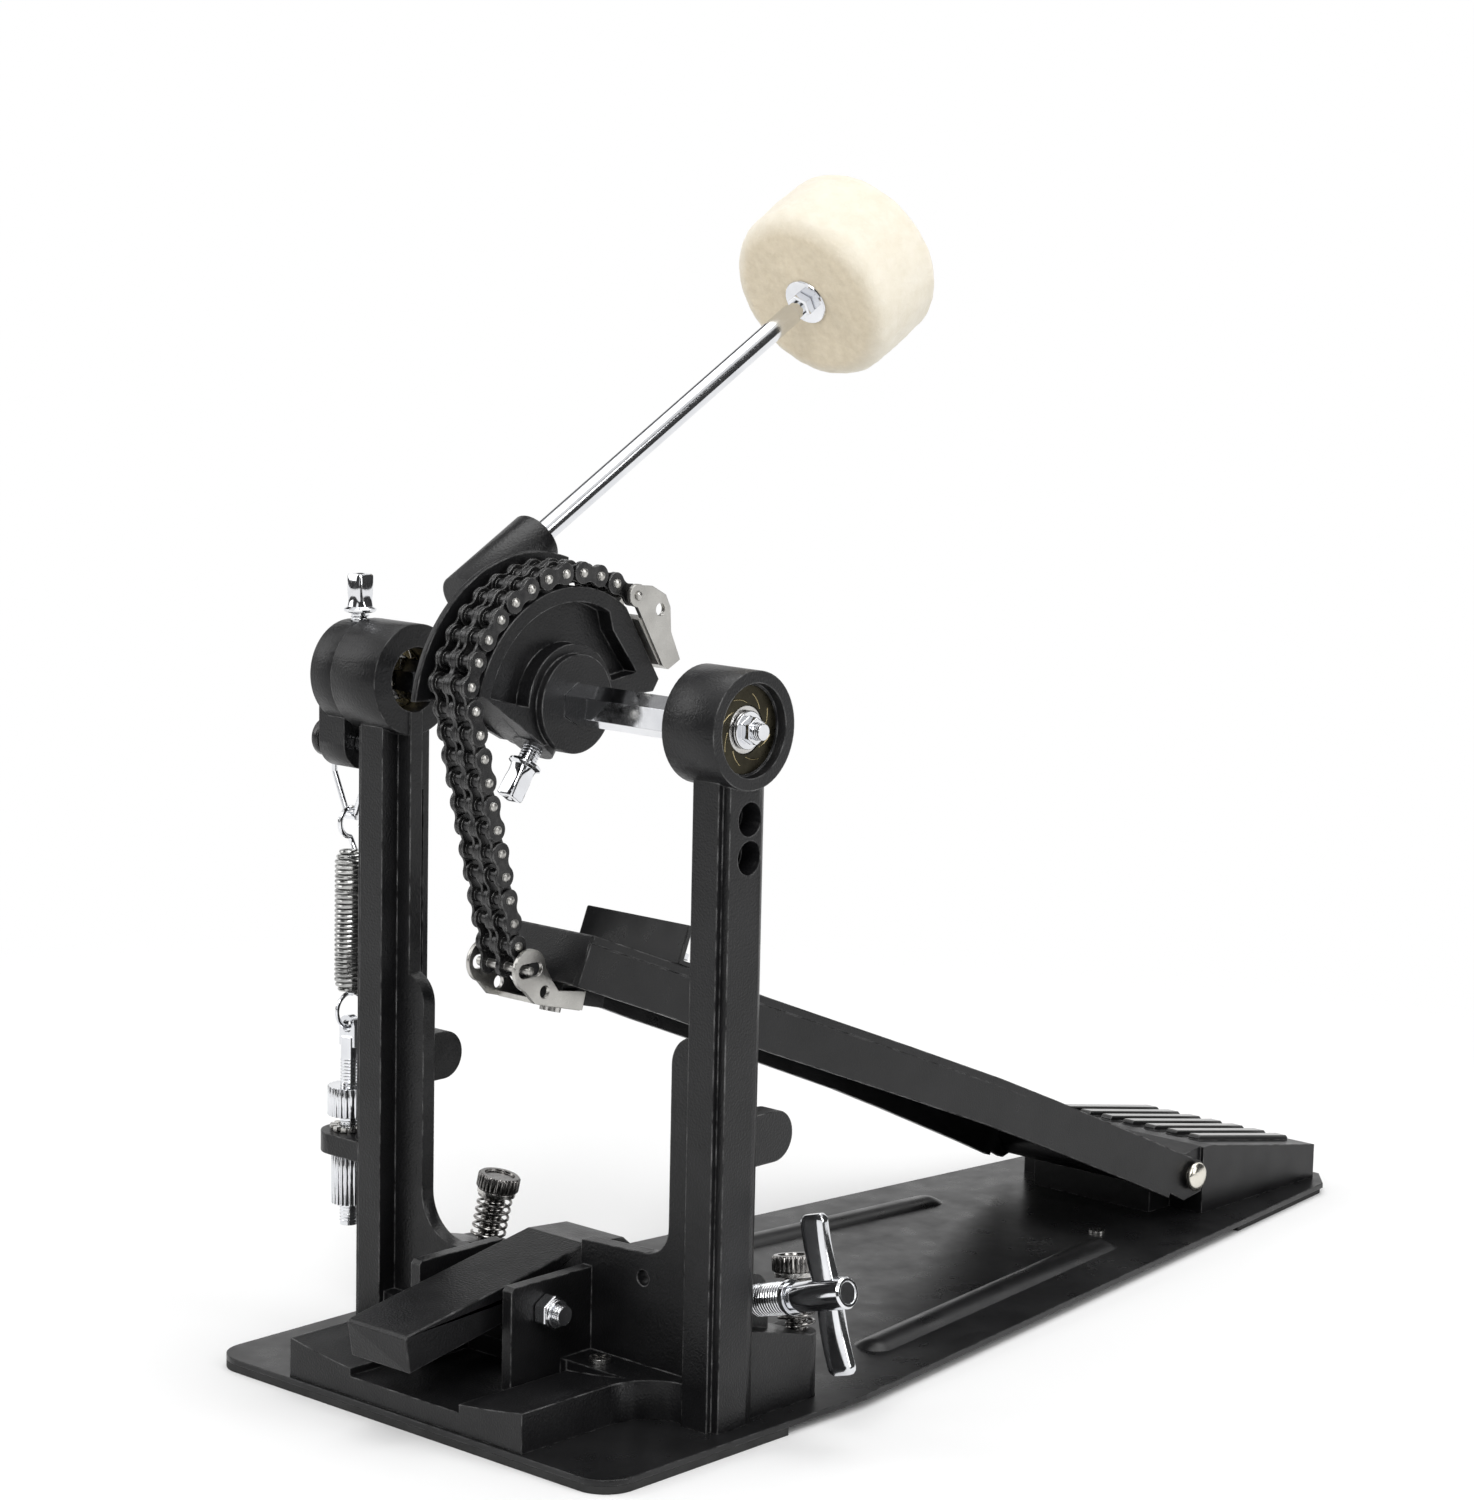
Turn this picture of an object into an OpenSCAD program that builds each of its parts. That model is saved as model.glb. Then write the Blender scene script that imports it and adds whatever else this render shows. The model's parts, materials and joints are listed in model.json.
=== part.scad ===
// Bass drum pedal with a duplex chain drive.
// X runs along the drive shaft, Y runs from the drum to the heel, Z is up.

/* [Stand] */
// Height of the drive shaft above the floor
shaft_h = 180.6; // [150:0.1:210]
// Distance from the centre to the outer face of a bearing housing
house_x = 68.3; // [60:0.1:80]
// Length of a bearing housing along the shaft
house_len = 17; // [12:0.1:22]
// Outside radius of a bearing housing
house_r = 14.8; // [12:0.1:18]
// Inner side of a post column
post_in = 55.6; // [50:0.1:60]
// Outer side of a post column
post_out = 66.5; // [60:0.1:72]
// Front face of a post column
post_front = -7.7; // [-12:0.1:-5]
// Rear face of a post column
post_back = 9.2; // [5:0.1:14]
// Half thickness of the web between the posts
web_half = 2.1; // [1:0.1:4]

/* [Floor plate] */
// Half width of the floor plate at the posts
plate_w = 72.2; // [60:0.1:85]
// Front edge of the floor plate
plate_front = -52; // [-70:0.5:-40]
// Rear edge of the floor plate
plate_rear = 316; // [280:0.5:340]
// Thickness of the rubber pads
pad_t = 2; // [1:0.1:4]
// Thickness of the floor plate
plate_t = 1.6; // [1:0.1:3]

/* [Chain] */
// Pitch of the chain
pitch = 6.35; // [5:0.05:10]
// Radius of the pin circle on the cam
chain_r = 36.8; // [30:0.1:45]
// Drop of the pin circle centre below the shaft
cam_drop = 3.6; // [0:0.1:8]
// Angle of the last wrapped pin
wrap_end = 163; // [150:0.5:180]
// Lean of the hanging chain from the vertical
hang_lean = 14.42; // [0:0.1:25]
// Half width of the chain across the outer plates
chain_half = 6.35; // [5:0.05:9]
// Radius of a chain pin
pin_r = 1.15; // [0.8:0.05:2]

/* [Beater] */
// Sideways place of the beater rod
rod_x = -16; // [-20:0.1:-10]
// Rise of the beater rod from the horizontal
rod_rise = 29.8; // [10:0.1:80]
// Distance of the beater rod from the shaft
rod_off = 29.9; // [26:0.1:36]
// Length from the foot of the rod to the end of the felt
rod_reach = 181.5; // [150:0.5:220]
// Radius of the felt
felt_r = 25.6; // [20:0.1:32]
// Length of the felt
felt_len = 29; // [20:0.5:40]

/* [Footboard] */
// Place of the heel hinge along Y
heel_y = 241; // [220:0.5:260]
// Height of the heel hinge
heel_z = 17.6; // [12:0.1:25]
// Half width of the board at the toe
toe_half = 18.5; // [15:0.1:30]
// Half width of the board at the heel hinge
heel_half = 36; // [28:0.1:42]

/* [Hidden] */
plate_z = pad_t + plate_t;
hex_r = 9.3 / sqrt(3);
cam_y = -0.3;
cam_z = shaft_h - cam_drop;
pin_step = 2 * asin(pitch / 2 / chain_r);
hang_dir = [sin(hang_lean), -cos(hang_lean)];
last_wrap = [cam_y + chain_r * cos(wrap_end), cam_z + chain_r * sin(wrap_end)];
end_pin = last_wrap + 12 * pitch * hang_dir;
drum_r = chain_r - 2.9 - 0.6;
board_turn = atan2(heel_half - toe_half, heel_y + 3);
spring_x = -76.2;
rocker_z = shaft_h - 19.1;
slot_r = 1.85;
hoop_curve = 238;
hoop_low = 10.3;
jaw_y = -19;
jaw_z = 28;
wing_tilt = 16;
spur_x = 57;
spur_y = 34.3;
spur_top = 20.6;

function pin_at(i) = i <= 12 ?
  [cam_y + chain_r * cos(wrap_end + (i - 12) * pin_step),
   cam_z + chain_r * sin(wrap_end + (i - 12) * pin_step)] :
  last_wrap + (i - 12) * pitch * hang_dir;

module xcyl(x1, x2, y, z, r, fn = 64) {
  translate([x1, y, z]) rotate([0, 90, 0]) cylinder(h = x2 - x1, r = r, $fn = fn);
}
module xcone(x1, x2, y, z, r1, r2) {
  translate([x1, y, z]) rotate([0, 90, 0]) cylinder(h = x2 - x1, r1 = r1, r2 = r2, $fn = 64);
}
module zcyl(x, y, z1, z2, r, fn = 64) {
  translate([x, y, z1]) cylinder(h = z2 - z1, r = r, $fn = fn);
}
module xplate(x1, x2) {
  translate([x1, 0, 0]) rotate([90, 0, 90]) linear_extrude(x2 - x1) children();
}
module yplate(y1, y2) {
  translate([0, y2, 0]) rotate([90, 0, 0]) linear_extrude(y2 - y1) children();
}
module both_sides() {
  children();
  mirror([1, 0, 0]) children();
}
module hex_bar(x1, x2, y, z, r) {
  xcyl(x1, x2, y, z, r, 6);
}

// ---------- floor plate ----------
module plate_shape(front, rear, grow) {
  edge = plate_w + grow;
  difference() {
    polygon([[-edge, front], [edge, front], [edge, 45], [40.4 + grow, rear - 9],
      [33 + grow, rear], [-33 - grow, rear], [-40.4 - grow, rear - 9], [-edge, 45]]);
    for (s = [-1, 1]) difference() {
      translate([s * (edge - 4.4), front + 4.4]) square(9.2, center = true);
      translate([s * (edge - 9), front + 9]) circle(r = 9, $fn = 64);
    }
  }
}
module plate_rib(s) {
  side = atan2(14.5, 120);
  translate([s * 47.5, 78, plate_z - 6.6]) rotate([0, 0, s * side]) {
    rotate([-90, 0, 0]) cylinder(h = 121, r = 8.6, $fn = 64);
    sphere(r = 8.6, $fn = 64);
    translate([0, 121, 0]) sphere(r = 8.6, $fn = 64);
  }
}
module base_plate() color([0.09, 0.09, 0.1]) difference() {
  union() {
    translate([0, 0, pad_t]) linear_extrude(plate_t)
      plate_shape(plate_front, plate_rear, 0);
    intersection() {
      union() {
        plate_rib(1);
        plate_rib(-1);
      }
      translate([-90, 0, plate_z - 0.2]) cube([180, 300, 10]);
    }
  }
  both_sides() spur_bore(4.2);
  zcyl(23.8, 210, 0, 10, 1.55);
}
module front_rubber_pad() color([0.04, 0.04, 0.045]) difference() {
  linear_extrude(pad_t) intersection() {
    plate_shape(plate_front, plate_rear, 0);
    translate([-90, -90]) square([180, 104.4]);
  }
}
module rear_rubber_pad() color([0.04, 0.04, 0.045])
  linear_extrude(pad_t) intersection() {
    plate_shape(plate_front, plate_rear, -1);
    translate([-90, 252]) square([180, 60]);
  }
module plate_rivet() color([0.7, 0.7, 0.7]) {
  zcyl(23.8, 210, pad_t + 0.3, plate_z, 1.5);
  zcyl(23.8, 210, plate_z, plate_z + 0.7, 2.4);
}

// ---------- frame ----------
module spur_axis(s) {
  translate([s * spur_x, spur_y, spur_top]) rotate([-5.6, -s * 9, 0]) children();
}
module spur_bore(r) {
  spur_axis(1) translate([0, 0, -30]) cylinder(h = 60, r = r, $fn = 64);
}
module post_section() {
  difference() {
    translate([post_in, post_front]) square([post_out - post_in, post_back - post_front]);
    translate([post_out - 5, post_back - 5]) square(6);
    translate([post_out - 2.4, post_front - 1]) square([4, 2.6]);
  }
  translate([post_out - 5, post_back - 5]) circle(r = 5, $fn = 64);
}
module bridge_shape() {
  difference() {
    translate([-post_in - 1, plate_z]) square([2 * post_in + 2, 176 - plate_z]);
    translate([-45, 55]) square([90, 50]);
    translate([-50.7, 104]) square([101.4, 90]);
    for (s = [-1, 1]) difference() {
      translate([s * 46.7, 99]) square([8, 10], center = true);
      translate([s * 53, 94]) circle(r = 8, $fn = 96);
    }
    translate([-33, 31]) square([18, 40]);
    translate([-45, 43]) square([30, 30]);
    translate([-33, 43]) circle(r = 12, $fn = 96);
    translate([-15.6, 19]) square([30.2, 60]);
    polygon([[14.5, 42.5], [37, 43.5], [37, 60], [14.5, 60]]);
    translate([37, 51.5]) circle(r = 8, $fn = 96);
    translate([20, 51.5]) square([25, 10]);
  }
}
module tongue_shape() {
  difference() {
    translate([-56.5, -51]) square([113, 53]);
    for (s = [-1, 1]) {
      translate([s > 0 ? 42.5 : -60.5, -52]) square([18, 32.5]);
      translate([s * 56, -19.5]) circle(r = 13.5, $fn = 96);
    }
  }
}
module post_frame() color([0.06, 0.06, 0.065]) difference() {
  union() {
    both_sides() {
      translate([0, 0, plate_z]) linear_extrude(168 - plate_z) post_section();
      xcyl(house_x - house_len, house_x, 0, shaft_h, house_r, 96);
      // rounded stop lug behind each post
      xplate(57, 63) {
        translate([17.2, 75.3]) circle(r = 6.6, $fn = 64);
        translate([5, 68.7]) square([12.2, 13.2]);
      }
      // spur block behind each post
      translate([50.5, 7, plate_z]) cube([13.5, 25, 17]);
      translate([50.5, 31, plate_z]) cube([8.5, 6, 17]);
      zcyl(59, 32, plate_z, plate_z + 17, 5);
      xplate(50.5, 64) polygon([[7, 19], [7, 26.5], [10, 26.2], [32, 20.6], [32, 19]]);
    }
    yplate(-web_half, web_half) bridge_shape();
    // tongue that carries the drum clamp
    difference() {
      translate([0, 0, plate_z]) linear_extrude(10.4) tongue_shape();
      translate([-19.5, -53, 9]) cube([39.9, 40, 20]);
      // tops of the front blocks follow the curve of a drum hoop
      translate([0, -13, hoop_low + hoop_curve]) rotate([90, 0, 0])
        cylinder(h = 45, r = hoop_curve, $fn = 256);
    }
    translate([-19.6, -13.2, 8]) cube([40.1, 13, 6]);
    for (e = [15.2, -18.4]) xplate(e, e + 3.2)
      polygon([[-31, 5], [-31, 35], [-30, 36], [-1, 36], [-1, 5]]);
    // boss for the wing screw
    xplate(50.5, 57.5) {
      polygon([[5, 20], [5, 34], [10, 38.4], [16, 38.4], [22.4, 32], [22.4, 20]]);
      translate([16, 32]) circle(r = 6.4, $fn = 64);
    }
    // ear for the spring tension rod
    translate([spring_x, 0, 48.4]) cylinder(h = 5.6, r = 7.8, $fn = 64);
    translate([spring_x, -7.8, 48.4]) cube([12, 15.6, 5.6]);
  }
  both_sides() {
    // bearing seat and the open ends of the housing
    xcyl(58.4, 65.6, 0, shaft_h, 11.05, 96);
    xcyl(65.5, 70, 0, shaft_h, 11.7, 96);
    xcyl(40, 59, 0, shaft_h, 8.6, 96);
    spur_bore(3.1);
    // hollow on the inner side of each post
    translate([post_in - 1, web_half + 2.5, 50]) cube([3.6, 2.6, 100]);
  }
  // two blind sockets in the right post
  xcyl(60, 70, 1.2, 158.4, 4.25);
  xcyl(60, 70, 1.2, 148.8, 4.25);
  // threaded hole in the web
  translate([36.5, 5, 36.8]) rotate([90, 0, 0]) cylinder(h = 10, r = 2.1, $fn = 48);
  xcyl(-25, 25, jaw_y, jaw_z, 2.6);
  wing_axis() translate([0, 0, -20]) cylinder(h = 30, r = 3.05, $fn = 64);
  zcyl(spring_x, 0, 40, 60, 2.6);
  zcyl(27.5, -8, 6, 20, 1.6);
}
module frame_screw() color([0.8, 0.8, 0.8]) {
  zcyl(27.5, -8, 7, 14.1, 1.55);
  difference() {
    zcyl(27.5, -8, 14.05, 15.3, 2.9);
    translate([27.5 - 2, -8.3, 14.8]) cube([4, 0.6, 1]);
    translate([27.5 - 0.3, -10, 14.8]) cube([0.6, 4, 1]);
  }
}

// ---------- bearings and shaft ----------
module race(x1, x2, ro, ri) difference() {
  xcyl(x1, x2, 0, shaft_h, ro, 96);
  xcyl(x1 - 1, x2 + 1, 0, shaft_h, ri, 96);
}
module outer_race_right() color([0.75, 0.75, 0.76]) race(58.5, 65.4, 11, 9.2);
module outer_race_left() color([0.75, 0.75, 0.76]) race(-65.4, -58.5, 11, 9.2);
module inner_race_right() color([0.8, 0.8, 0.8]) race(58.5, 65.4, 5.9, 4.05);
module inner_race_left() color([0.8, 0.8, 0.8]) race(-65.4, -58.5, 5.9, 4.05);
module ball_ring(x) {
  difference() {
    race(x - 1.6, x + 1.6, 8.2, 6.9);
    for (a = [0 : 45 : 315])
      translate([x, 7.55 * cos(a), shaft_h + 7.55 * sin(a)]) sphere(r = 1.5, $fn = 32);
  }
  for (a = [0 : 45 : 315])
    translate([x, 7.55 * cos(a), shaft_h + 7.55 * sin(a)]) sphere(r = 1.5, $fn = 32);
}
module ball_cage_right() color([0.72, 0.6, 0.3]) ball_ring(62);
module ball_cage_left() color([0.72, 0.6, 0.3]) ball_ring(-62);
module hex_shaft() color([0.8, 0.81, 0.83]) {
  hex_bar(-58.2, 58.2, 0, shaft_h, hex_r);
  xcyl(-77.2, -58.1, 0, shaft_h, 4);
  xcyl(58.1, 65.6, 0, shaft_h, 4);
  xcyl(65.5, 71.4, 0, shaft_h, 2);
  xcyl(-82.6, -77.1, 0, shaft_h, 2.4);
}
module shaft_flange_nut() color([0.85, 0.85, 0.85]) difference() {
  union() {
    xcyl(65.7, 66.8, 0, shaft_h, 4.8);
    hex_bar(66.7, 69.2, 0, shaft_h, 3.5);
  }
  xcyl(65, 71, 0, shaft_h, 2.05);
}

// ---------- cam ----------
module rod_frame() {
  // local X is world X, local Z points along the beater rod
  translate([rod_x, 0, shaft_h]) rotate([rod_rise - 90, 0, 0]) translate([0, -rod_off, 0]) children();
}
module cam_outline(r) {
  intersection() {
    translate([cam_y, cam_z]) circle(r = r, $fn = 128);
    polygon([[-31, 185], [-9.7, 170.6], [10, 172.5], [17, 180.6], [30.2, 181], [32.3, 184],
      [19.4, 204.1], [19.4, 230], [-50, 230], [-50, 185]]);
  }
}
module chain_cam() color([0.05, 0.05, 0.055]) difference() {
  union() {
    xplate(-7.9, 6.2) cam_outline(drum_r);
    // tall guide flange on the beater side
    xplate(-9.7, -7.95) intersection() {
      translate([cam_y, cam_z]) circle(r = 41, $fn = 128);
      polygon([[-33.4, 183], [-9.7, 170.6], [10, 172.5], [14, 190], [12, 230], [-60, 230],
        [-60, 183]]);
    }
    xcyl(-9.7, 8.4, 0, shaft_h, 12.7, 96);
    // sleeve for the beater rod
    rod_frame() translate([0, 0, -1.5]) cylinder(h = 28.5, r = 7.4, $fn = 64);
    xplate(-11.5, -9.6) polygon([[-13, 182], [9, 186], [2, 214], [-24, 203]]);
    // bolt bosses
    cam_bolt_axis() translate([0, 0, -14]) cylinder(h = 8, r = 5.6, $fn = 64);
  }
  hex_bar(-20, 20, 0, shaft_h, hex_r + 0.05);
  // pocket in the drive face
  xplate(1.6, 9) difference() {
    intersection() {
      translate([cam_y, cam_z]) circle(r = 29.4, $fn = 96);
      polygon([[-40, 187.5], [-12, 180], [0, 186], [10, 184.5], [24, 186.5], [15, 198],
        [10, 215], [-40, 215]]);
    }
    translate([0, shaft_h]) circle(r = 15.2, $fn = 64);
  }
  rod_frame() translate([0, 0, -40]) cylinder(h = 80, r = 3.05, $fn = 64);
  rod_frame() translate([0, 0, 12.8]) rotate([-90, 0, 0]) cylinder(h = 12, r = 2.55, $fn = 48);
  cam_bolt_axis() translate([0, 0, -20]) cylinder(h = 30, r = 2.55, $fn = 48);
}
module cam_bolt_axis() {
  // points from the bolt head towards the shaft
  translate([0.5, 0, shaft_h]) rotate([-35, 0, 0]) translate([0, 0, 0]) children();
}
module key_bolt(len) {
  // square drum key head above a bell flange, thread along -Z
  translate([0, 0, -len]) cylinder(h = len + 0.1, r = 2.5, $fn = 48);
  cylinder(h = 1.1, r = 4.3, $fn = 64);
  translate([0, 0, 1]) cylinder(h = 3.1, r1 = 3.6, r2 = 2.8, $fn = 64);
  translate([-2.6, -2.6, 3.6]) cube([5.2, 5.2, 6.6]);
}
module cam_key_bolt() color([0.85, 0.85, 0.86])
  cam_bolt_axis() rotate([180, 0, 0]) translate([0, 0, 18.2]) key_bolt(12.2);
module beater_key_bolt() color([0.85, 0.85, 0.86])
  rod_frame() translate([0, 0, 12.8]) rotate([-90, 0, 0]) translate([0, 0, 10.2]) key_bolt(6.9);

// ---------- beater ----------
module beater_rod() color([0.85, 0.85, 0.86]) rod_frame() {
  translate([0, 0, 0.5]) cylinder(h = rod_reach - 53.5, r = 2.95, $fn = 64);
  translate([0, 0, rod_reach - 53.1]) cylinder(h = 12, r = 2.95, $fn = 64);
  translate([0, 0, rod_reach - 42]) cylinder(h = 40, r = 2.4, $fn = 48);
}
module felt_place() rod_frame() translate([0, 0, rod_reach - 34]) children();
module beater_felt() color([0.93, 0.88, 0.76]) felt_place() difference() {
  rotate_extrude($fn = 128) {
    translate([0, 0]) square([felt_r - 4, felt_len]);
    translate([0, 4]) square([felt_r, felt_len - 8]);
    translate([felt_r - 4, 4]) circle(r = 4, $fn = 48);
    translate([felt_r - 4, felt_len - 4]) circle(r = 4, $fn = 48);
  }
  translate([0, 0, -1]) cylinder(h = felt_len + 2, r = 2.45, $fn = 48);
}
module beater_washer() color([0.85, 0.85, 0.86]) felt_place() difference() {
  translate([0, 0, -1.2]) cylinder(h = 1.15, r = 5.4, $fn = 64);
  translate([0, 0, -2]) cylinder(h = 3, r = 2.45, $fn = 48);
}
module beater_nut() color([0.85, 0.85, 0.86]) felt_place() difference() {
  translate([0, 0, -4.6]) cylinder(h = 3.35, r = 4.6, $fn = 6);
  translate([0, 0, -5]) cylinder(h = 5, r = 2.45, $fn = 48);
}

// ---------- chain ----------
module link_shape(hole) difference() {
  union() {
    circle(r = 2.9, $fn = 48);
    translate([pitch, 0]) circle(r = 2.9, $fn = 48);
    translate([0, -2.05]) square([pitch, 4.1]);
  }
  if (hole > 0) {
    circle(r = hole, $fn = 48);
    translate([pitch, 0]) circle(r = hole, $fn = 48);
  }
}
module link_plates(i, spans, hole) {
  p = pin_at(i);
  q = pin_at(i + 1);
  turn = atan2(q[1] - p[1], q[0] - p[0]);
  for (s = spans)
    xplate(s[0], s[1]) translate(p) rotate(turn) link_shape(hole);
}
module outer_link(i) {
  a = chain_half;
  link_plates(i, [[-a, -a + 0.75], [-0.72, 0.72], [a - 0.75, a]], 0);
  for (k = [i, i + 1]) {
    half = (k == 1 || k == 24) ? 9.7 : chain_half + 0.95;
    xcyl(-half, half, pin_at(k)[0], pin_at(k)[1], pin_r, 48);
  }
}
module inner_link(i) difference() {
  union() {
    link_plates(i, [[-5.5, -4.75], [-1.57, -0.82], [0.82, 1.57], [4.75, 5.5]], 0);
    for (k = [i, i + 1]) for (s = [-1, 1])
      xcyl(s * 3.16 - 1.7, s * 3.16 + 1.7, pin_at(k)[0], pin_at(k)[1], 1.75, 48);
  }
  for (k = [i, i + 1]) xcyl(-8, 8, pin_at(k)[0], pin_at(k)[1], pin_r + 0.05, 48);
}
module chain_wrap_outer() color([0.1, 0.1, 0.1]) for (i = [1 : 2 : 9]) outer_link(i);
module chain_wrap_inner() color([0.08, 0.08, 0.08]) for (i = [2 : 2 : 10]) inner_link(i);
module chain_peel_link() color([0.1, 0.1, 0.1]) outer_link(11);
module chain_hang_inner() color([0.08, 0.08, 0.08]) for (i = [12 : 2 : 22]) inner_link(i);
module chain_hang_outer() color([0.1, 0.1, 0.1]) for (i = [13 : 2 : 23]) outer_link(i);
module top_clevis() color([0.62, 0.61, 0.59]) difference() {
  union() {
    for (x = [-8.9, 7.7]) xplate(x, x + 1.2) {
      polygon([[18.4, 205.3], [20.2, 209.6], [26.5, 209], [31.6, 206.4], [33.4, 203],
        [33.8, 196.5], [37.4, 189], [33.0, 186.8], [30.9, 187.9], [20.6, 204.6]]);
      translate(pin_at(1)) circle(r = 3, $fn = 48);
    }
    xplate(-7.8, 7.8) polygon([[22.6, 200.4], [30.5, 188.1], [33.0, 186.8], [35.4, 188],
      [31.6, 189.4], [24, 201.4]]);
  }
  xcyl(-10, 10, pin_at(1)[0], pin_at(1)[1], pin_r + 0.05, 48);
  xcyl(-10, 10, 29.6, 202.7, 1.7, 48);
  top_screw_axis() translate([0, 0, -8]) cylinder(h = 16, r = 2.1, $fn = 48);
}
module top_screw_axis() translate([0, 27.2, 195.4]) rotate([-57.3, 0, 0]) children();
module top_clevis_screw() color([0.8, 0.8, 0.8]) top_screw_axis() {
  translate([0, 0, 0.9]) cylinder(h = 1.8, r = 3.4, $fn = 48);
  translate([0, 0, -1.2]) cylinder(h = 2.2, r = 2, $fn = 48);
}
module toe_clevis() color([0.62, 0.61, 0.59]) difference() {
  union() {
    for (x = [-8.9, 7.7]) xplate(x, x + 1.2) {
      translate([end_pin[0] + 0.35, end_pin[1] + 0.1]) circle(r = 5.5, $fn = 64);
      polygon([[-21, 112], [-14.5, 105.2], [-9.6, 103.9], [2.8, 100.9], [4.1, 105.8],
        [-6, 107.4], [-8.4, 110.6], [-13, 118]]);
    }
    xplate(-7.8, 7.8) polygon([[-11, 104.1], [3, 100.6], [3, 102], [-11, 105.5]]);
  }
  end_slot(end_pin[0], end_pin[1] + 0.15);
  xcyl(-10, 10, -11, 107.8, 1.7, 48);
  toe_screw_axis() translate([0, 0, -8]) cylinder(h = 16, r = 2.1, $fn = 48);
}
// slot in which the last chain pin floats
module end_slot(y, z) {
  for (d = [-1.95, 2.75]) xcyl(-12, 12, y + d, z, slot_r, 48);
  translate([-12, y - 1.95, z - slot_r]) cube([24, 4.7, 2 * slot_r]);
}
module toe_screw_axis() translate([0, 0.4, 101.75]) rotate([-14, 0, 0]) children();
module toe_clevis_screw() color([0.8, 0.8, 0.8]) toe_screw_axis() {
  translate([0, 0, -2]) cylinder(h = 1.4, r = 2.8, $fn = 48);
  translate([0, 0, -0.8]) cylinder(h = 7, r = 2, $fn = 48);
}

// ---------- footboard ----------
function top_line() = [[-3.2, 122.8], [25.3, 111.8], [59.3, 98], [115, 76.4], [153, 61.4],
  [177, 51.2], [220, 32.4], [236, 25.2]];
module board_band(t, end_y) {
  upper = top_line();
  polygon(concat(upper, [for (i = [len(upper) - 1 : -1 : 0])
    [upper[i][0] - t * 0.38, upper[i][1] - t * 0.93]]));
}
module board_plan() linear_extrude(160)
  polygon([[-toe_half, -9], [toe_half, -9], [heel_half + 0.4, heel_y + 8],
    [-heel_half - 0.4, heel_y + 8]]);
module board_side() {
  translate([toe_half, -3, 0]) rotate([0, 0, -board_turn]) translate([-2.2, 3, 0])
    xplate(0, 2.2) {
      board_band(13.6);
      polygon([[234, 26.2], [245.4, 21.6], [248.6, 18], [246, 12], [238, 10.5], [230, 14.6]]);
    }
}
module footboard() color([0.07, 0.07, 0.075]) difference() {
  union() {
    intersection() {
      xplate(-50, 50) board_band(2.2);
      board_plan();
    }
    both_sides() intersection() {
      board_side();
      translate([0, -10, 0]) cube([60, 270, 160]);
    }
    // front skirt and the mounting block for the clevis
    intersection() {
      xplate(-17.6, 17.6) polygon([[-3.4, 122.6], [-0.6, 121.6], [-5.4, 109.2], [-8, 110.4]]);
      board_plan();
    }
    xplate(-7, 7) polygon([[1.6, 120], [15, 114.8], [12.4, 99.7], [-3.8, 103.75]]);
    // ribs under the tread
    for (x = [-9, 9]) intersection() {
      xplate(x - 1, x + 1) board_band(8);
      translate([-50, 16, 0]) cube([100, 200, 160]);
    }
  }
  xcyl(-60, 60, heel_y, heel_z, 2.55);
  toe_screw_axis() translate([0, 0, -2]) cylinder(h = 9, r = 2.05, $fn = 48);
  for (x = [-11, 11]) stop_axis(x) translate([0, 0, -9]) cylinder(h = 12, r = 1.55, $fn = 48);
}
module stop_axis(x) translate([x, 35.5, 109.6]) rotate([-22, 0, 0]) children();
module toe_stop() color([0.06, 0.06, 0.065]) difference() {
  xplate(-toe_half - 0.1, toe_half + 0.1) polygon([[28.6, 110.9], [32.6, 120.6], [34.2, 120],
    [30.7, 111.5], [41.5, 107.1], [40.9, 105.7]]);
  for (x = [-11, 11]) stop_axis(x) translate([0, 0, -6]) cylinder(h = 12, r = 1.6, $fn = 48);
}
module toe_stop_screws() color([0.8, 0.8, 0.8]) for (x = [-11, 11]) stop_axis(x) {
  translate([0, 0, 0.85]) cylinder(h = 1.6, r = 3.1, $fn = 48);
  translate([0, 0, -8.4]) cylinder(h = 9.4, r = 1.5, $fn = 48);
}
module hinge_pin() color([0.85, 0.85, 0.86]) {
  xcyl(-37.2, 37.2, heel_y, heel_z, 2.5);
  xcyl(37.1, 37.9, heel_y, heel_z, 4.4);
  xcone(37.8, 39, heel_y, heel_z, 4.4, 3.3);
  xcone(38.9, 39.5, heel_y, heel_z, 3.3, 1.6);
  xcyl(-37.9, -37.1, heel_y, heel_z, 4.4);
  xcone(-39, -37.8, heel_y, heel_z, 3.3, 4.4);
  xcone(-39.5, -38.9, heel_y, heel_z, 1.6, 3.3);
}
module heel_block() color([0.06, 0.06, 0.065]) difference() {
  union() {
    xcyl(-32.8, 32.8, heel_y, heel_z, 6.1, 64);
    xplate(-32.8, 32.8) polygon([[241, 12], [241, 23.6], [250, 24.6], [250, 12]]);
    xplate(-22, 22) polygon([[239, 3.6], [239, 20], [250, 24], [250, 3.6]]);
    xplate(-34, 34) polygon([[249.6, 3.6], [249.6, 24.4], [254, 24.4], [311, 14.2],
      [311, 3.6]]);
    for (i = [-3 : 3]) xplate(i * 8.3 - 1.9, i * 8.3 + 1.9)
      polygon([[257, 22], [257, 24.6], [258, 25.3], [305.5, 16.8], [306.5, 15.9], [306.5, 13]]);
  }
  xcyl(-60, 60, heel_y, heel_z, 2.55);
  for (x = [-20, 20]) for (y = [262, 300]) zcyl(x, y, 0, 9, 1.6);
}
module heel_block_screws() color([0.6, 0.6, 0.6]) for (x = [-20, 20]) for (y = [262, 300])
  zcyl(x, y, plate_z + 0.05, 8.6, 1.55);

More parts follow.
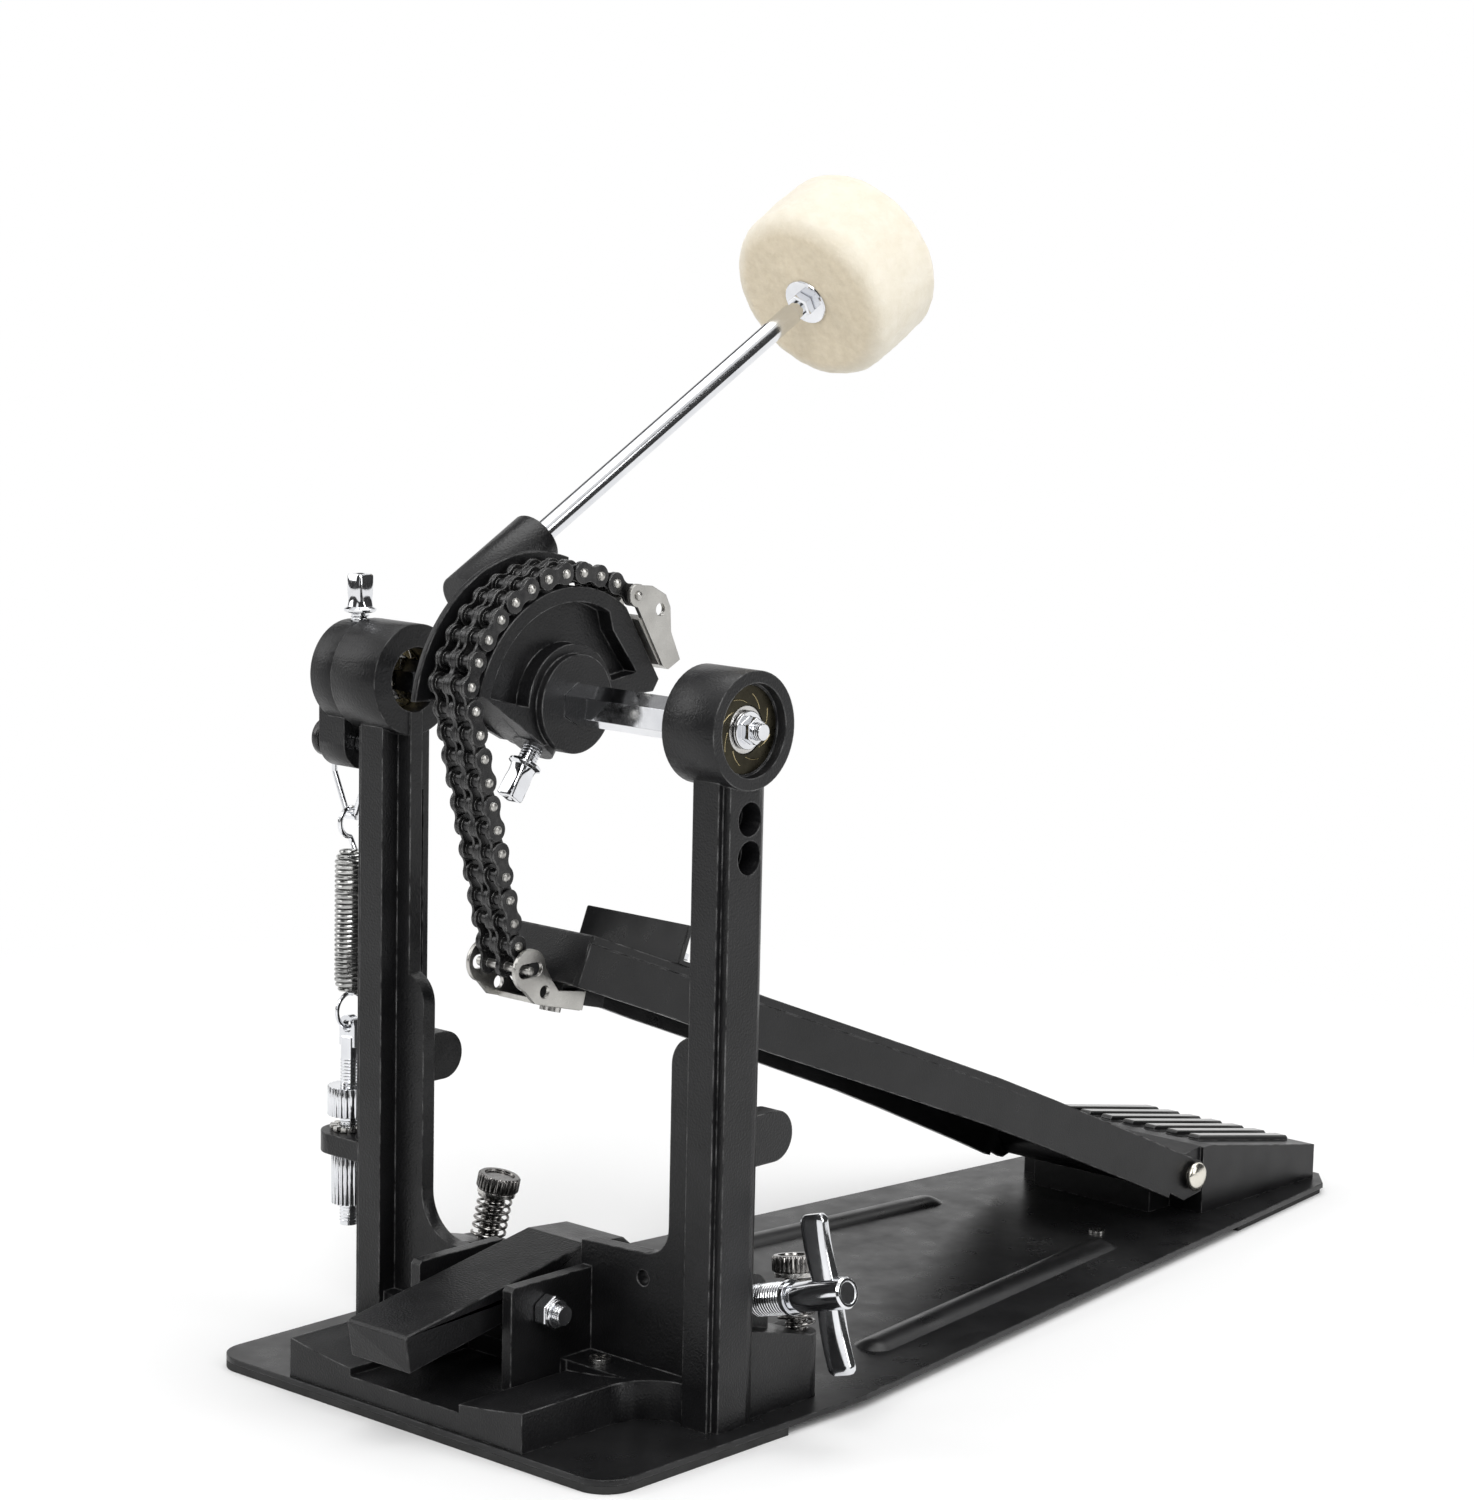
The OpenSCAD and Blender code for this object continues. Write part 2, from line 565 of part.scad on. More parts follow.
// ---------- drum clamp ----------
module clamp_jaw() color([0.06, 0.06, 0.065]) difference() {
  union() {
    xplate(-10.6, 10.7) polygon([[-58.6, 18.4], [-60.2, 27.4], [-59.4, 28.3], [3.6, 39.2],
      [18, 38], [24, 33], [24.8, 27], [22, 24], [2, 24], [-8, 23.6], [-13, 22], [-24, 22],
      [-26, 24.4]]);
    // foot over the tip of the wing screw
    xplate(6, 19.5) polygon([[10.5, 19.9], [10.5, 31], [21.5, 31], [21.5, 19.9]]);
  }
  xcyl(-30, 30, jaw_y, jaw_z, 2.6);
  // notch with the slope that the wing screw pushes on
  yplate(12.3, 19.7) polygon([[25, 15], [25, 25], [16.3, 25], [8.2, 15]]);
}
module clamp_pivot_bolt() color([0.85, 0.85, 0.86]) {
  xcyl(-18.6, 25.6, jaw_y, jaw_z, 2.5);
  hex_bar(-22.2, -18.5, jaw_y, jaw_z, 4.6);
}
module clamp_lock_nut() color([0.85, 0.85, 0.86]) difference() {
  union() {
    hex_bar(18.5, 22.2, jaw_y, jaw_z, 4.6);
    xcyl(22.1, 23.4, jaw_y, jaw_z, 3.6);
  }
  xcyl(18, 24, jaw_y, jaw_z, 2.55);
}
module wing_axis() translate([59.2, 16, 32]) rotate([0, 90 - wing_tilt, 0]) children();
module wing_screw() color([0.85, 0.85, 0.86]) wing_axis() {
  translate([0, 0, -46]) cylinder(h = 59, r = 2.95, $fn = 64);
  translate([0, 0, -46]) sphere(r = 2.2, $fn = 48);
  translate([0, 0, 13]) cylinder(h = 18.3, r = 4.05, $fn = 64);
  for (s = [0, 1]) mirror([s, 0, 0]) {
    translate([3, -1.5, 20.6]) cube([15.9, 3, 7.6]);
    translate([18.8, -1.5, 22]) cube([1.5, 3, 4.8]);
    for (z = [22, 26.8])
      translate([18.9, 1.5, z]) rotate([90, 0, 0]) cylinder(h = 3, r = 1.4, $fn = 32);
  }
}
module wing_washer() color([0.8, 0.8, 0.8]) wing_axis() difference() {
  translate([0, 0, 11.6]) cylinder(h = 1.2, r = 4.6, $fn = 48);
  translate([0, 0, 11]) cylinder(h = 3, r = 3.05, $fn = 48);
}
module wing_spring() color([0.8, 0.8, 0.8]) wing_axis() difference() {
  cylinder(h = 11.5, r = 4.4, $fn = 64);
  translate([0, 0, -3]) cylinder(h = 16, r = 3.4, $fn = 64);
}

// ---------- spurs ----------
module spur_screw(s) spur_axis(s) {
  difference() {
    translate([0, 0, 14.2]) cylinder(h = 4.4, r = 6, $fn = 64);
    for (a = [0 : 12 : 348]) rotate(a) translate([6.15, 0, 13]) cylinder(h = 7, r = 0.4, $fn = 16);
  }
  translate([0, 0, -15.4]) cylinder(h = 29.7, r = 3, $fn = 64);
  translate([0, 0, -17.6]) cylinder(h = 2.3, r1 = 0.6, r2 = 3, $fn = 64);
}
module spur_spring(s) spur_axis(s) difference() {
  translate([0, 0, 1.1]) cylinder(h = 11.8, r = 5.1, $fn = 64);
  translate([0, 0, 0]) cylinder(h = 15, r = 4, $fn = 64);
}
module spur_washer(s) spur_axis(s) difference() {
  translate([0, 0, 13]) cylinder(h = 1.1, r = 5.4, $fn = 64);
  translate([0, 0, 12]) cylinder(h = 4, r = 3.1, $fn = 64);
}
module spur_screw_right() color([0.7, 0.7, 0.7]) spur_screw(1);
module spur_screw_left() color([0.7, 0.7, 0.7]) spur_screw(-1);
module spur_spring_right() color([0.4, 0.4, 0.4]) spur_spring(1);
module spur_spring_left() color([0.4, 0.4, 0.4]) spur_spring(-1);
module spur_washer_right() color([0.7, 0.7, 0.7]) spur_washer(1);
module spur_washer_left() color([0.7, 0.7, 0.7]) spur_washer(-1);

// ---------- return spring ----------
module spring_rocker() color([0.05, 0.05, 0.055]) difference() {
  union() {
    xcyl(-77.4, -68.7, 0, shaft_h, 13.8, 96);
    xplate(-81.2, -71.2) {
      translate([0, rocker_z]) circle(r = 7.2, $fn = 64);
      translate([-7.2, rocker_z]) square([14.4, 15]);
    }
  }
  xcyl(-90, -60, 0, shaft_h, 4.05);
  xcyl(-90, -60, 0, rocker_z, 2.05, 48);
  zcyl(-73, 0, shaft_h + 3, shaft_h + 16, 2.55, 48);
}
module rocker_key_bolt() color([0.85, 0.85, 0.86])
  translate([-73, 0, shaft_h + 16]) key_bolt(11.9);
module rocker_pin() color([0.08, 0.08, 0.08]) {
  xcyl(-86.2, -69.0, 0, rocker_z, 2, 48);
  xcyl(-86.4, -84.2, 0, rocker_z, 5.2, 64);
}
module wire(a, b, r) {
  d = b - a;
  n = norm(d);
  translate(a) rotate([0, acos(d[2] / n), atan2(d[1], d[0])]) cylinder(h = n, r = r, $fn = 32);
}
module wire_stirrup() color([0.85, 0.85, 0.86]) {
  for (x = [-82.8, -70.0]) difference() {
    xcyl(x - 0.9, x + 0.9, 0, rocker_z, 3.5, 48);
    xcyl(x - 2, x + 2, 0, rocker_z, 2.1, 48);
  }
  for (x = [-82.8, -70.0]) {
    zcyl(x, 0, rocker_z - 9.2, rocker_z - 2.7, 0.8, 32);
    translate([x, 0, rocker_z - 9.2]) sphere(r = 0.8, $fn = 32);
    wire([x, 0, rocker_z - 9.2], [spring_x + (x < spring_x ? -1.4 : 1.4), 0, 141.0], 0.8);
  }
  xcyl(spring_x - 2.4, spring_x + 2.4, 0, 141.0, 1, 32);
}
module spring_hook() color([0.85, 0.85, 0.86]) difference() {
  translate([0, 0, 0]) rotate([0, 0, 0]) translate([spring_x, 0, 139.2]) rotate([90, 0, 90])
    rotate_extrude($fn = 64) translate([3.9, 0]) circle(r = 0.75, $fn = 24);
}
module extension_spring() color([0.85, 0.85, 0.86]) {
  difference() {
    translate([spring_x, 0, 92]) cylinder(h = 40, r = 4.5, $fn = 64);
    translate([spring_x, 0, 91]) cylinder(h = 42, r = 3.3, $fn = 64);
  }
  translate([spring_x, 0, 87.4]) rotate([90, 0, 90])
    rotate_extrude($fn = 64) translate([4.7, 0]) circle(r = 0.75, $fn = 24);
  zcyl(spring_x, 0, 91.2, 92.6, 4.1);
  zcyl(spring_x, 0, 131.4, 132.8, 4.1);
}
module tension_rod() color([0.85, 0.85, 0.86]) difference() {
  union() {
    zcyl(spring_x, 0, 27.5, 80, 2.45);
    translate([spring_x - 3, -1.1, 77.4]) cube([6, 2.2, 5.6]);
    translate([spring_x, 1.1, 83]) rotate([90, 0, 0]) cylinder(h = 2.2, r = 3, $fn = 48);
  }
  translate([spring_x, 4, 83]) rotate([90, 0, 0]) cylinder(h = 8, r = 1.75, $fn = 48);
}
module knurled(z1, z2, r, bore) difference() {
  zcyl(spring_x, 0, z1, z2, r);
  zcyl(spring_x, 0, z1 - 1, z2 + 1, bore, 48);
  for (a = [0 : 15 : 345])
    translate([spring_x, 0, z1 - 1]) rotate(a) translate([r + 0.25, 0, 0])
      cylinder(h = z2 - z1 + 2, r = 0.55, $fn = 16);
}
module upper_tension_nut() color([0.85, 0.85, 0.86]) knurled(58.4, 66.4, 6, 2.5);
module tooth_washer() color([0.8, 0.8, 0.8]) difference() {
  union() {
    zcyl(spring_x, 0, 54.05, 55, 4.2);
    for (a = [0 : 30 : 330]) translate([spring_x, 0, 54.3]) rotate(a)
      translate([3.4, -0.7, 0]) cube([1.9, 1.4, 1.2]);
  }
  zcyl(spring_x, 0, 53, 57, 2.55, 48);
}
module lower_tension_nut() color([0.85, 0.85, 0.86]) knurled(33.6, 48.3, 4.9, 2.5);

base_plate();
front_rubber_pad();
rear_rubber_pad();
plate_rivet();
post_frame();
frame_screw();
outer_race_right();
outer_race_left();
inner_race_right();
inner_race_left();
ball_cage_right();
ball_cage_left();
hex_shaft();
shaft_flange_nut();
chain_cam();
cam_key_bolt();
beater_key_bolt();
beater_rod();
beater_felt();
beater_washer();
beater_nut();
chain_wrap_outer();
chain_wrap_inner();
chain_peel_link();
chain_hang_inner();
chain_hang_outer();
top_clevis();
top_clevis_screw();
toe_clevis();
toe_clevis_screw();
footboard();
toe_stop();
toe_stop_screws();
hinge_pin();
heel_block();
heel_block_screws();
clamp_jaw();
clamp_pivot_bolt();
clamp_lock_nut();
wing_screw();
wing_washer();
wing_spring();
spur_screw_right();
spur_spring_right();
spur_washer_right();
spur_screw_left();
spur_spring_left();
spur_washer_left();
spring_rocker();
rocker_key_bolt();
rocker_pin();
wire_stirrup();
spring_hook();
extension_spring();
tension_rod();
upper_tension_nut();
tooth_washer();
lower_tension_nut();
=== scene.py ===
"""Looks of the bass drum pedal: materials, wound springs, chain, felt and screws round the CAD frame."""

import json
import math

import bpy
from mathutils import Matrix, Vector, noise


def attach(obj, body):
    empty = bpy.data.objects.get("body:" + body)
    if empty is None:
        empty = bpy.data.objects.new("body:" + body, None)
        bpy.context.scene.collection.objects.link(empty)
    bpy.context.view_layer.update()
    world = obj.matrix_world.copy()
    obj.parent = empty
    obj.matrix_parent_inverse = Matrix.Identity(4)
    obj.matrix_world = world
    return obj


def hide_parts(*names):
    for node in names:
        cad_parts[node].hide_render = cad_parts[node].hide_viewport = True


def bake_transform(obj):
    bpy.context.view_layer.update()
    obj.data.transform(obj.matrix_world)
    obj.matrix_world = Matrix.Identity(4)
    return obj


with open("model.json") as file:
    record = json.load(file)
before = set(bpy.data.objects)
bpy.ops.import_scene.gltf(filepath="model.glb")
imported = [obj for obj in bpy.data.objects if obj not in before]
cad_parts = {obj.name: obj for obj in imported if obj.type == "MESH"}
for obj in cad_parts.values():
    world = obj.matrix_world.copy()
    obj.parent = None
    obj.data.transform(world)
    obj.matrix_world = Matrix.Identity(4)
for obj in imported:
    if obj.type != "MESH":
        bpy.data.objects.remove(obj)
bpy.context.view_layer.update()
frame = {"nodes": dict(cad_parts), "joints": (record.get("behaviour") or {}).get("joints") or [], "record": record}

MM = 0.001
JOINTS = {joint["name"]: joint for joint in frame["joints"]}
SHAFT = Vector(JOINTS["shaft_turn"]["pos_m"])


def mm(points):
    """Points given in millimetres, in metres."""
    return [tuple(value * MM for value in point) for point in points]


# ---------- camera ----------
AZIMUTH = math.radians(41.718)
ELEVATION = math.radians(8.741)
ROLL = math.radians(1.209)
CAMERA_PLACE = Vector((0.663508, -0.673828, 0.314081))
LENS_MM = 91.43
SENSOR_MM = 36.0


def make_camera():
    """Long lens, low and to the front right, with a slight roll."""
    back = Vector((math.sin(AZIMUTH) * math.cos(ELEVATION),
                   -math.cos(AZIMUTH) * math.cos(ELEVATION), math.sin(ELEVATION)))
    right = (-back).cross(Vector((0, 0, 1))).normalized()
    up = right.cross(-back)
    rolled_right = math.cos(ROLL) * right + math.sin(ROLL) * up
    rolled_up = -math.sin(ROLL) * right + math.cos(ROLL) * up
    data = bpy.data.cameras.new("camera")
    data.sensor_fit = "HORIZONTAL"
    data.sensor_width = SENSOR_MM
    data.lens = LENS_MM
    data.clip_start = 0.05
    data.clip_end = 100
    camera = bpy.data.objects.new("camera", data)
    bpy.context.scene.collection.objects.link(camera)
    turn = Matrix((rolled_right, rolled_up, back)).transposed()
    camera.matrix_world = Matrix.Translation(CAMERA_PLACE) @ turn.to_4x4()
    bpy.context.scene.camera = camera


# ---------- shader helpers ----------
class Shader:
    """A material with its Principled shader, and short calls to add and link nodes."""

    def __init__(self, name):
        self.material = bpy.data.materials.new(name)
        self.material.use_nodes = True
        self.nodes = self.material.node_tree.nodes
        self.links = self.material.node_tree.links
        self.main = self.nodes["Principled BSDF"]
        self.place = self.add("ShaderNodeTexCoord").outputs["Object"]

    def add(self, kind, **settings):
        node = self.nodes.new(kind)
        for key, value in settings.items():
            setattr(node, key, value)
        return node

    def link(self, source, target):
        self.links.new(source, target)

    def set(self, **values):
        for key, value in values.items():
            self.main.inputs[key.replace("_", " ")].default_value = value

    def noise(self, scale, detail=3.0, rough=0.5, stretch=None):
        node = self.add("ShaderNodeTexNoise")
        node.inputs["Scale"].default_value = scale
        node.inputs["Detail"].default_value = detail
        node.inputs["Roughness"].default_value = rough
        place = self.place
        if stretch:
            mapping = self.add("ShaderNodeMapping")
            mapping.inputs["Scale"].default_value = stretch
            self.link(place, mapping.inputs["Vector"])
            place = mapping.outputs["Vector"]
        self.link(place, node.inputs["Vector"])
        return node.outputs["Fac"]

    def ramp(self, value, low, high, low_to=0.0, high_to=1.0):
        node = self.add("ShaderNodeMapRange")
        for key, number in (("From Min", low), ("From Max", high), ("To Min", low_to), ("To Max", high_to)):
            node.inputs[key].default_value = number
        self.link(value, node.inputs["Value"])
        return node.outputs["Result"]

    def mix(self, share, first, second):
        node = self.add("ShaderNodeMix", data_type="RGBA")
        self.link(share, node.inputs["Factor"])
        for key, colour in (("A", first), ("B", second)):
            socket = next(s for s in node.inputs if s.name == key and s.type == "RGBA")
            if hasattr(colour, "links"):
                self.link(colour, socket)
            else:
                socket.default_value = (*colour, 1)
        return next(s for s in node.outputs if s.type == "RGBA")

    def times(self, first, second):
        node = self.add("ShaderNodeMath", operation="MULTIPLY")
        for k, value in enumerate((first, second)):
            if hasattr(value, "links"):
                self.link(value, node.inputs[k])
            else:
                node.inputs[k].default_value = value
        return node.outputs[0]

    def rounded(self, radius):
        """Normal that bends over sharp edges."""
        node = self.add("ShaderNodeBevel", samples=4)
        node.inputs["Radius"].default_value = radius
        return node.outputs["Normal"]

    def edges(self, radius):
        """Near 1 along sharp edges and 0 on open faces."""
        dot = self.add("ShaderNodeVectorMath", operation="DOT_PRODUCT")
        self.link(self.rounded(radius), dot.inputs[0])
        self.link(self.add("ShaderNodeNewGeometry").outputs["Normal"], dot.inputs[1])
        return self.ramp(dot.outputs["Value"], 0.995, 0.86)

    def bump(self, height, depth, normal=None):
        """Normal with a relief of the given depth laid over it."""
        node = self.add("ShaderNodeBump")
        node.inputs["Strength"].default_value = 1.0
        node.inputs["Distance"].default_value = depth
        self.link(height, node.inputs["Height"])
        if normal:
            self.link(normal, node.inputs["Normal"])
        return node.outputs["Normal"]


# the rib tops of the heel block lie on the plane z + RIB_FALL * y = RIB_LEVEL
RIB_FALL = 0.1789
RIB_LEVEL = 71.4 * MM
# painted highlight: grey laid on the heel block's rib tops to stand for their bright grazing reflection
RIB_TOP_HIGHLIGHT = (0.075, 0.075, 0.073)


def rib_tops(s):
    """1 on the tops of the heel block's ribs and 0 elsewhere."""
    split = s.add("ShaderNodeSeparateXYZ")
    s.link(s.place, split.inputs["Vector"])
    height = s.add("ShaderNodeMath", operation="MULTIPLY_ADD")
    s.link(split.outputs["Y"], height.inputs[0])
    height.inputs[1].default_value = RIB_FALL
    s.link(split.outputs["Z"], height.inputs[2])
    return s.ramp(height.outputs["Value"], RIB_LEVEL - 0.5 * MM, RIB_LEVEL - 0.1 * MM)


# how far from an edge the paint is worn and coloured lighter as a painted highlight, and how far the edge looks
# rounded
EDGE_WEAR_AND_HIGHLIGHT = 0.6 * MM
EDGE_ROUND = 0.48 * MM


def painted(name, colour, worn_and_lit, roughness, grain, depth, smooth_and_highlight=None):
    """Powder coat: fine grain, soft mottling, lighter along the edges as a little wear and a painted highlight,
    and parts made smoother and coloured lighter as a painted highlight.
    """
    s = Shader(name)
    mottle = s.ramp(s.noise(55, 4), 0.35, 0.65)
    light = tuple(c * 1.4 + 0.002 for c in colour)
    body = s.mix(mottle, colour, light)
    # lighter along the edges: partly paint worn through, partly a painted highlight where edges catch the light
    wear_and_highlight = s.times(s.edges(EDGE_WEAR_AND_HIGHLIGHT), s.ramp(s.noise(260, 3), 0.38, 0.68))
    body = s.mix(wear_and_highlight, body, worn_and_lit)
    rough = s.ramp(s.noise(120, 3), 0.3, 0.7, roughness - 0.05, roughness + 0.07)
    grains = s.noise(1 / grain, 2)
    if smooth_and_highlight:
        mask = smooth_and_highlight(s)
        # painted highlight on the masked parts, which are also made smoother and less bumpy
        body = s.mix(mask, body, RIB_TOP_HIGHLIGHT)
        rough = s.times(rough, s.ramp(mask, 0, 1, 1.0, 0.4))
        grains = s.times(grains, s.ramp(mask, 0, 1, 1.0, 0.05))
    s.link(body, s.main.inputs["Base Color"])
    s.link(rough, s.main.inputs["Roughness"])
    normal = s.bump(grains, depth, s.rounded(EDGE_ROUND))
    s.link(normal, s.main.inputs["Normal"])
    s.set(Specular_IOR_Level=0.34)
    return s.material


def metal(name, colour, dark, roughness, stretch=None, scratch=0.004 * MM):
    """Plated or brushed steel with smudges and fine scratches."""
    s = Shader(name)
    s.link(s.mix(s.ramp(s.noise(90, 4), 0.35, 0.75), colour, dark), s.main.inputs["Base Color"])
    lines = s.noise(900, 2, 0.6, stretch)
    s.link(s.ramp(lines, 0.3, 0.7, roughness * 0.75, roughness * 1.35), s.main.inputs["Roughness"])
    s.link(s.bump(lines, scratch, s.rounded(0.2 * MM)), s.main.inputs["Normal"])
    s.set(Metallic=1.0)
    return s.material


def chain_black():
    """Oiled black oxide, lighter along the plate edges: partly wear, partly a painted highlight for glints."""
    s = Shader("chain_black")
    body = s.mix(s.ramp(s.noise(400, 3), 0.35, 0.7), (0.014, 0.014, 0.015), (0.045, 0.044, 0.044))
    # painted highlight: plate edges coloured light grey for glints, partly also wear
    wear_and_highlight = s.times(s.edges(0.00025), s.ramp(s.noise(600, 3), 0.35, 0.6))
    s.link(s.mix(wear_and_highlight, body, (0.3, 0.3, 0.295)), s.main.inputs["Base Color"])
    s.link(s.ramp(s.noise(700, 2), 0.3, 0.7, 0.18, 0.32), s.main.inputs["Roughness"])
    s.link(s.bump(s.noise(1500, 2), 0.00001, s.rounded(0.0003)), s.main.inputs["Normal"])
    s.set(Metallic=0.6, Specular_IOR_Level=0.7)
    return s.material


def rubber():
    """Matt rubber with a fine pebble."""
    s = Shader("rubber_black")
    s.link(s.mix(s.ramp(s.noise(150, 3), 0.3, 0.7), (0.012, 0.012, 0.012), (0.024, 0.024, 0.024)),
           s.main.inputs["Base Color"])
    s.link(s.bump(s.noise(1400, 2), 0.00005, s.rounded(0.0004)), s.main.inputs["Normal"])
    s.set(Roughness=0.8)
    return s.material


def felt():
    """Pressed wool: matted fibres, darker and browner on the flat ends."""
    s = Shader("felt_cream")
    ends = s.add("ShaderNodeAttribute", attribute_name="end_share").outputs["Fac"]
    side = s.mix(s.ramp(s.noise(160, 6, 0.65), 0.3, 0.7), (0.84, 0.79, 0.68), (0.77, 0.71, 0.58))
    end = s.mix(s.ramp(s.noise(420, 6, 0.7), 0.32, 0.7), (0.76, 0.67, 0.51), (0.65, 0.56, 0.41))
    s.link(s.mix(ends, side, end), s.main.inputs["Base Color"])
    fibres = s.noise(1100, 5, 0.75, (1, 0.45, 0.7))
    clumps = s.noise(260, 4, 0.6)
    s.link(s.bump(fibres, 0.00022, s.bump(clumps, 0.0005)), s.main.inputs["Normal"])
    s.set(Roughness=0.95, Sheen_Weight=0.35, Sheen_Roughness=0.5, Specular_IOR_Level=0.15)
    return s.material


BLACK = (0.0045, 0.0045, 0.005)
# colour along the edges: bare metal where worn, and a painted highlight
BARE_AND_LIT = (0.22, 0.22, 0.22)
PAINTS = {
    # colour, colour along the edges (wear and painted highlight), roughness, size of the grain, depth of the
    # grain, parts made smooth and given a painted highlight
    "cast_black": (BLACK, BARE_AND_LIT, 0.33, 0.6 * MM, 0.13 * MM),
    "plate_black": ((0.008, 0.008, 0.0085), (0.09, 0.09, 0.09), 0.30, 0.5 * MM, 0.01 * MM),
    "board_black": ((0.005, 0.005, 0.0055), BARE_AND_LIT, 0.32, 0.4 * MM, 0.06 * MM),
    # the heel block's rib tops get a painted highlight
    "heel_black": (BLACK, (0.2, 0.2, 0.2), 0.33, 0.4 * MM, 0.05 * MM, rib_tops)}
METALS = {
    # colour, darker smudges, roughness, stretch of the scratches, depth of the scratches
    "bright_chrome": ((0.82, 0.83, 0.85), (0.66, 0.67, 0.70), 0.09),
    "zinc_steel": ((0.68, 0.67, 0.65), (0.50, 0.49, 0.47), 0.24),
    "clevis_steel": ((0.60, 0.59, 0.56), (0.42, 0.41, 0.39), 0.33, (1, 14, 1), 0.01 * MM),
    "cage_brass": ((0.50, 0.42, 0.24), (0.30, 0.24, 0.13), 0.25),
    "dark_nickel": ((0.30, 0.29, 0.28), (0.17, 0.165, 0.16), 0.2),
    "spring_steel": ((0.52, 0.52, 0.51), (0.36, 0.36, 0.355), 0.18),
    "warm_chrome": ((0.80, 0.77, 0.69), (0.66, 0.63, 0.56), 0.2),
    "shield": ((0.05, 0.045, 0.03), (0.025, 0.022, 0.015), 0.3)}
MATERIALS = {name: painted(name, *look) for name, look in PAINTS.items()}
MATERIALS.update({name: metal(name, *look) for name, look in METALS.items()})
MATERIALS.update(rubber_black=rubber(), chain_steel=chain_black(), felt_cream=felt())
SLOT_OF = {part["node"]: part["material_slot"] for part in frame["record"]["subparts"]}

# rounding of each node's edges, in millimetres
SOFT_EDGES = {
    "post_frame": 0.7, "clamp_jaw": 1.2, "chain_cam": 0.5, "spring_rocker": 0.7, "heel_block": 0.6,
    "footboard": 0.5, "base_plate": 0.4, "toe_stop": 0.4, "top_clevis": 0.2, "toe_clevis": 0.2,
    "front_rubber_pad": 0.4, "rear_rubber_pad": 0.4, "shaft_flange_nut": 0.25, "clamp_lock_nut": 0.35,
    "clamp_pivot_bolt": 0.35, "beater_nut": 0.3, "upper_tension_nut": 0.25, "lower_tension_nut": 0.25,
    "hex_shaft": 0.2, "rocker_pin": 0.4}


def paint_frame():
    """Every CAD node takes the material of its slot, and the main ones get rounded edges."""
    for name, node in frame["nodes"].items():
        material = MATERIALS["heel_black" if name == "heel_block" else SLOT_OF[name]]
        node.data.materials.clear()
        node.data.materials.append(material)
    for name, width in SOFT_EDGES.items():
        node = frame["nodes"][name]
        weld = node.modifiers.new("weld", "WELD")
        weld.merge_threshold = 0.002 * MM
        bevel = node.modifiers.new("round_edges", "BEVEL")
        bevel.width = width * MM
        bevel.segments = 2
        bevel.limit_method = "ANGLE"
        bevel.angle_limit = math.radians(38)
        bevel.harden_normals = True


# ---------- mesh helpers ----------
def axes(origin, direction, side=(0, 0, 1)):
    """Matrix with local Z along direction, local X as near to side as it can be."""
    z = Vector(direction).normalized()
    x = Vector(side) - Vector(side).dot(z) * z
    if x.length < 1e-6:
        x = z.orthogonal()
    x.normalize()
    turn = Matrix((x, z.cross(x), z)).transposed().to_4x4()
    return Matrix.Translation(Vector(origin)) @ turn


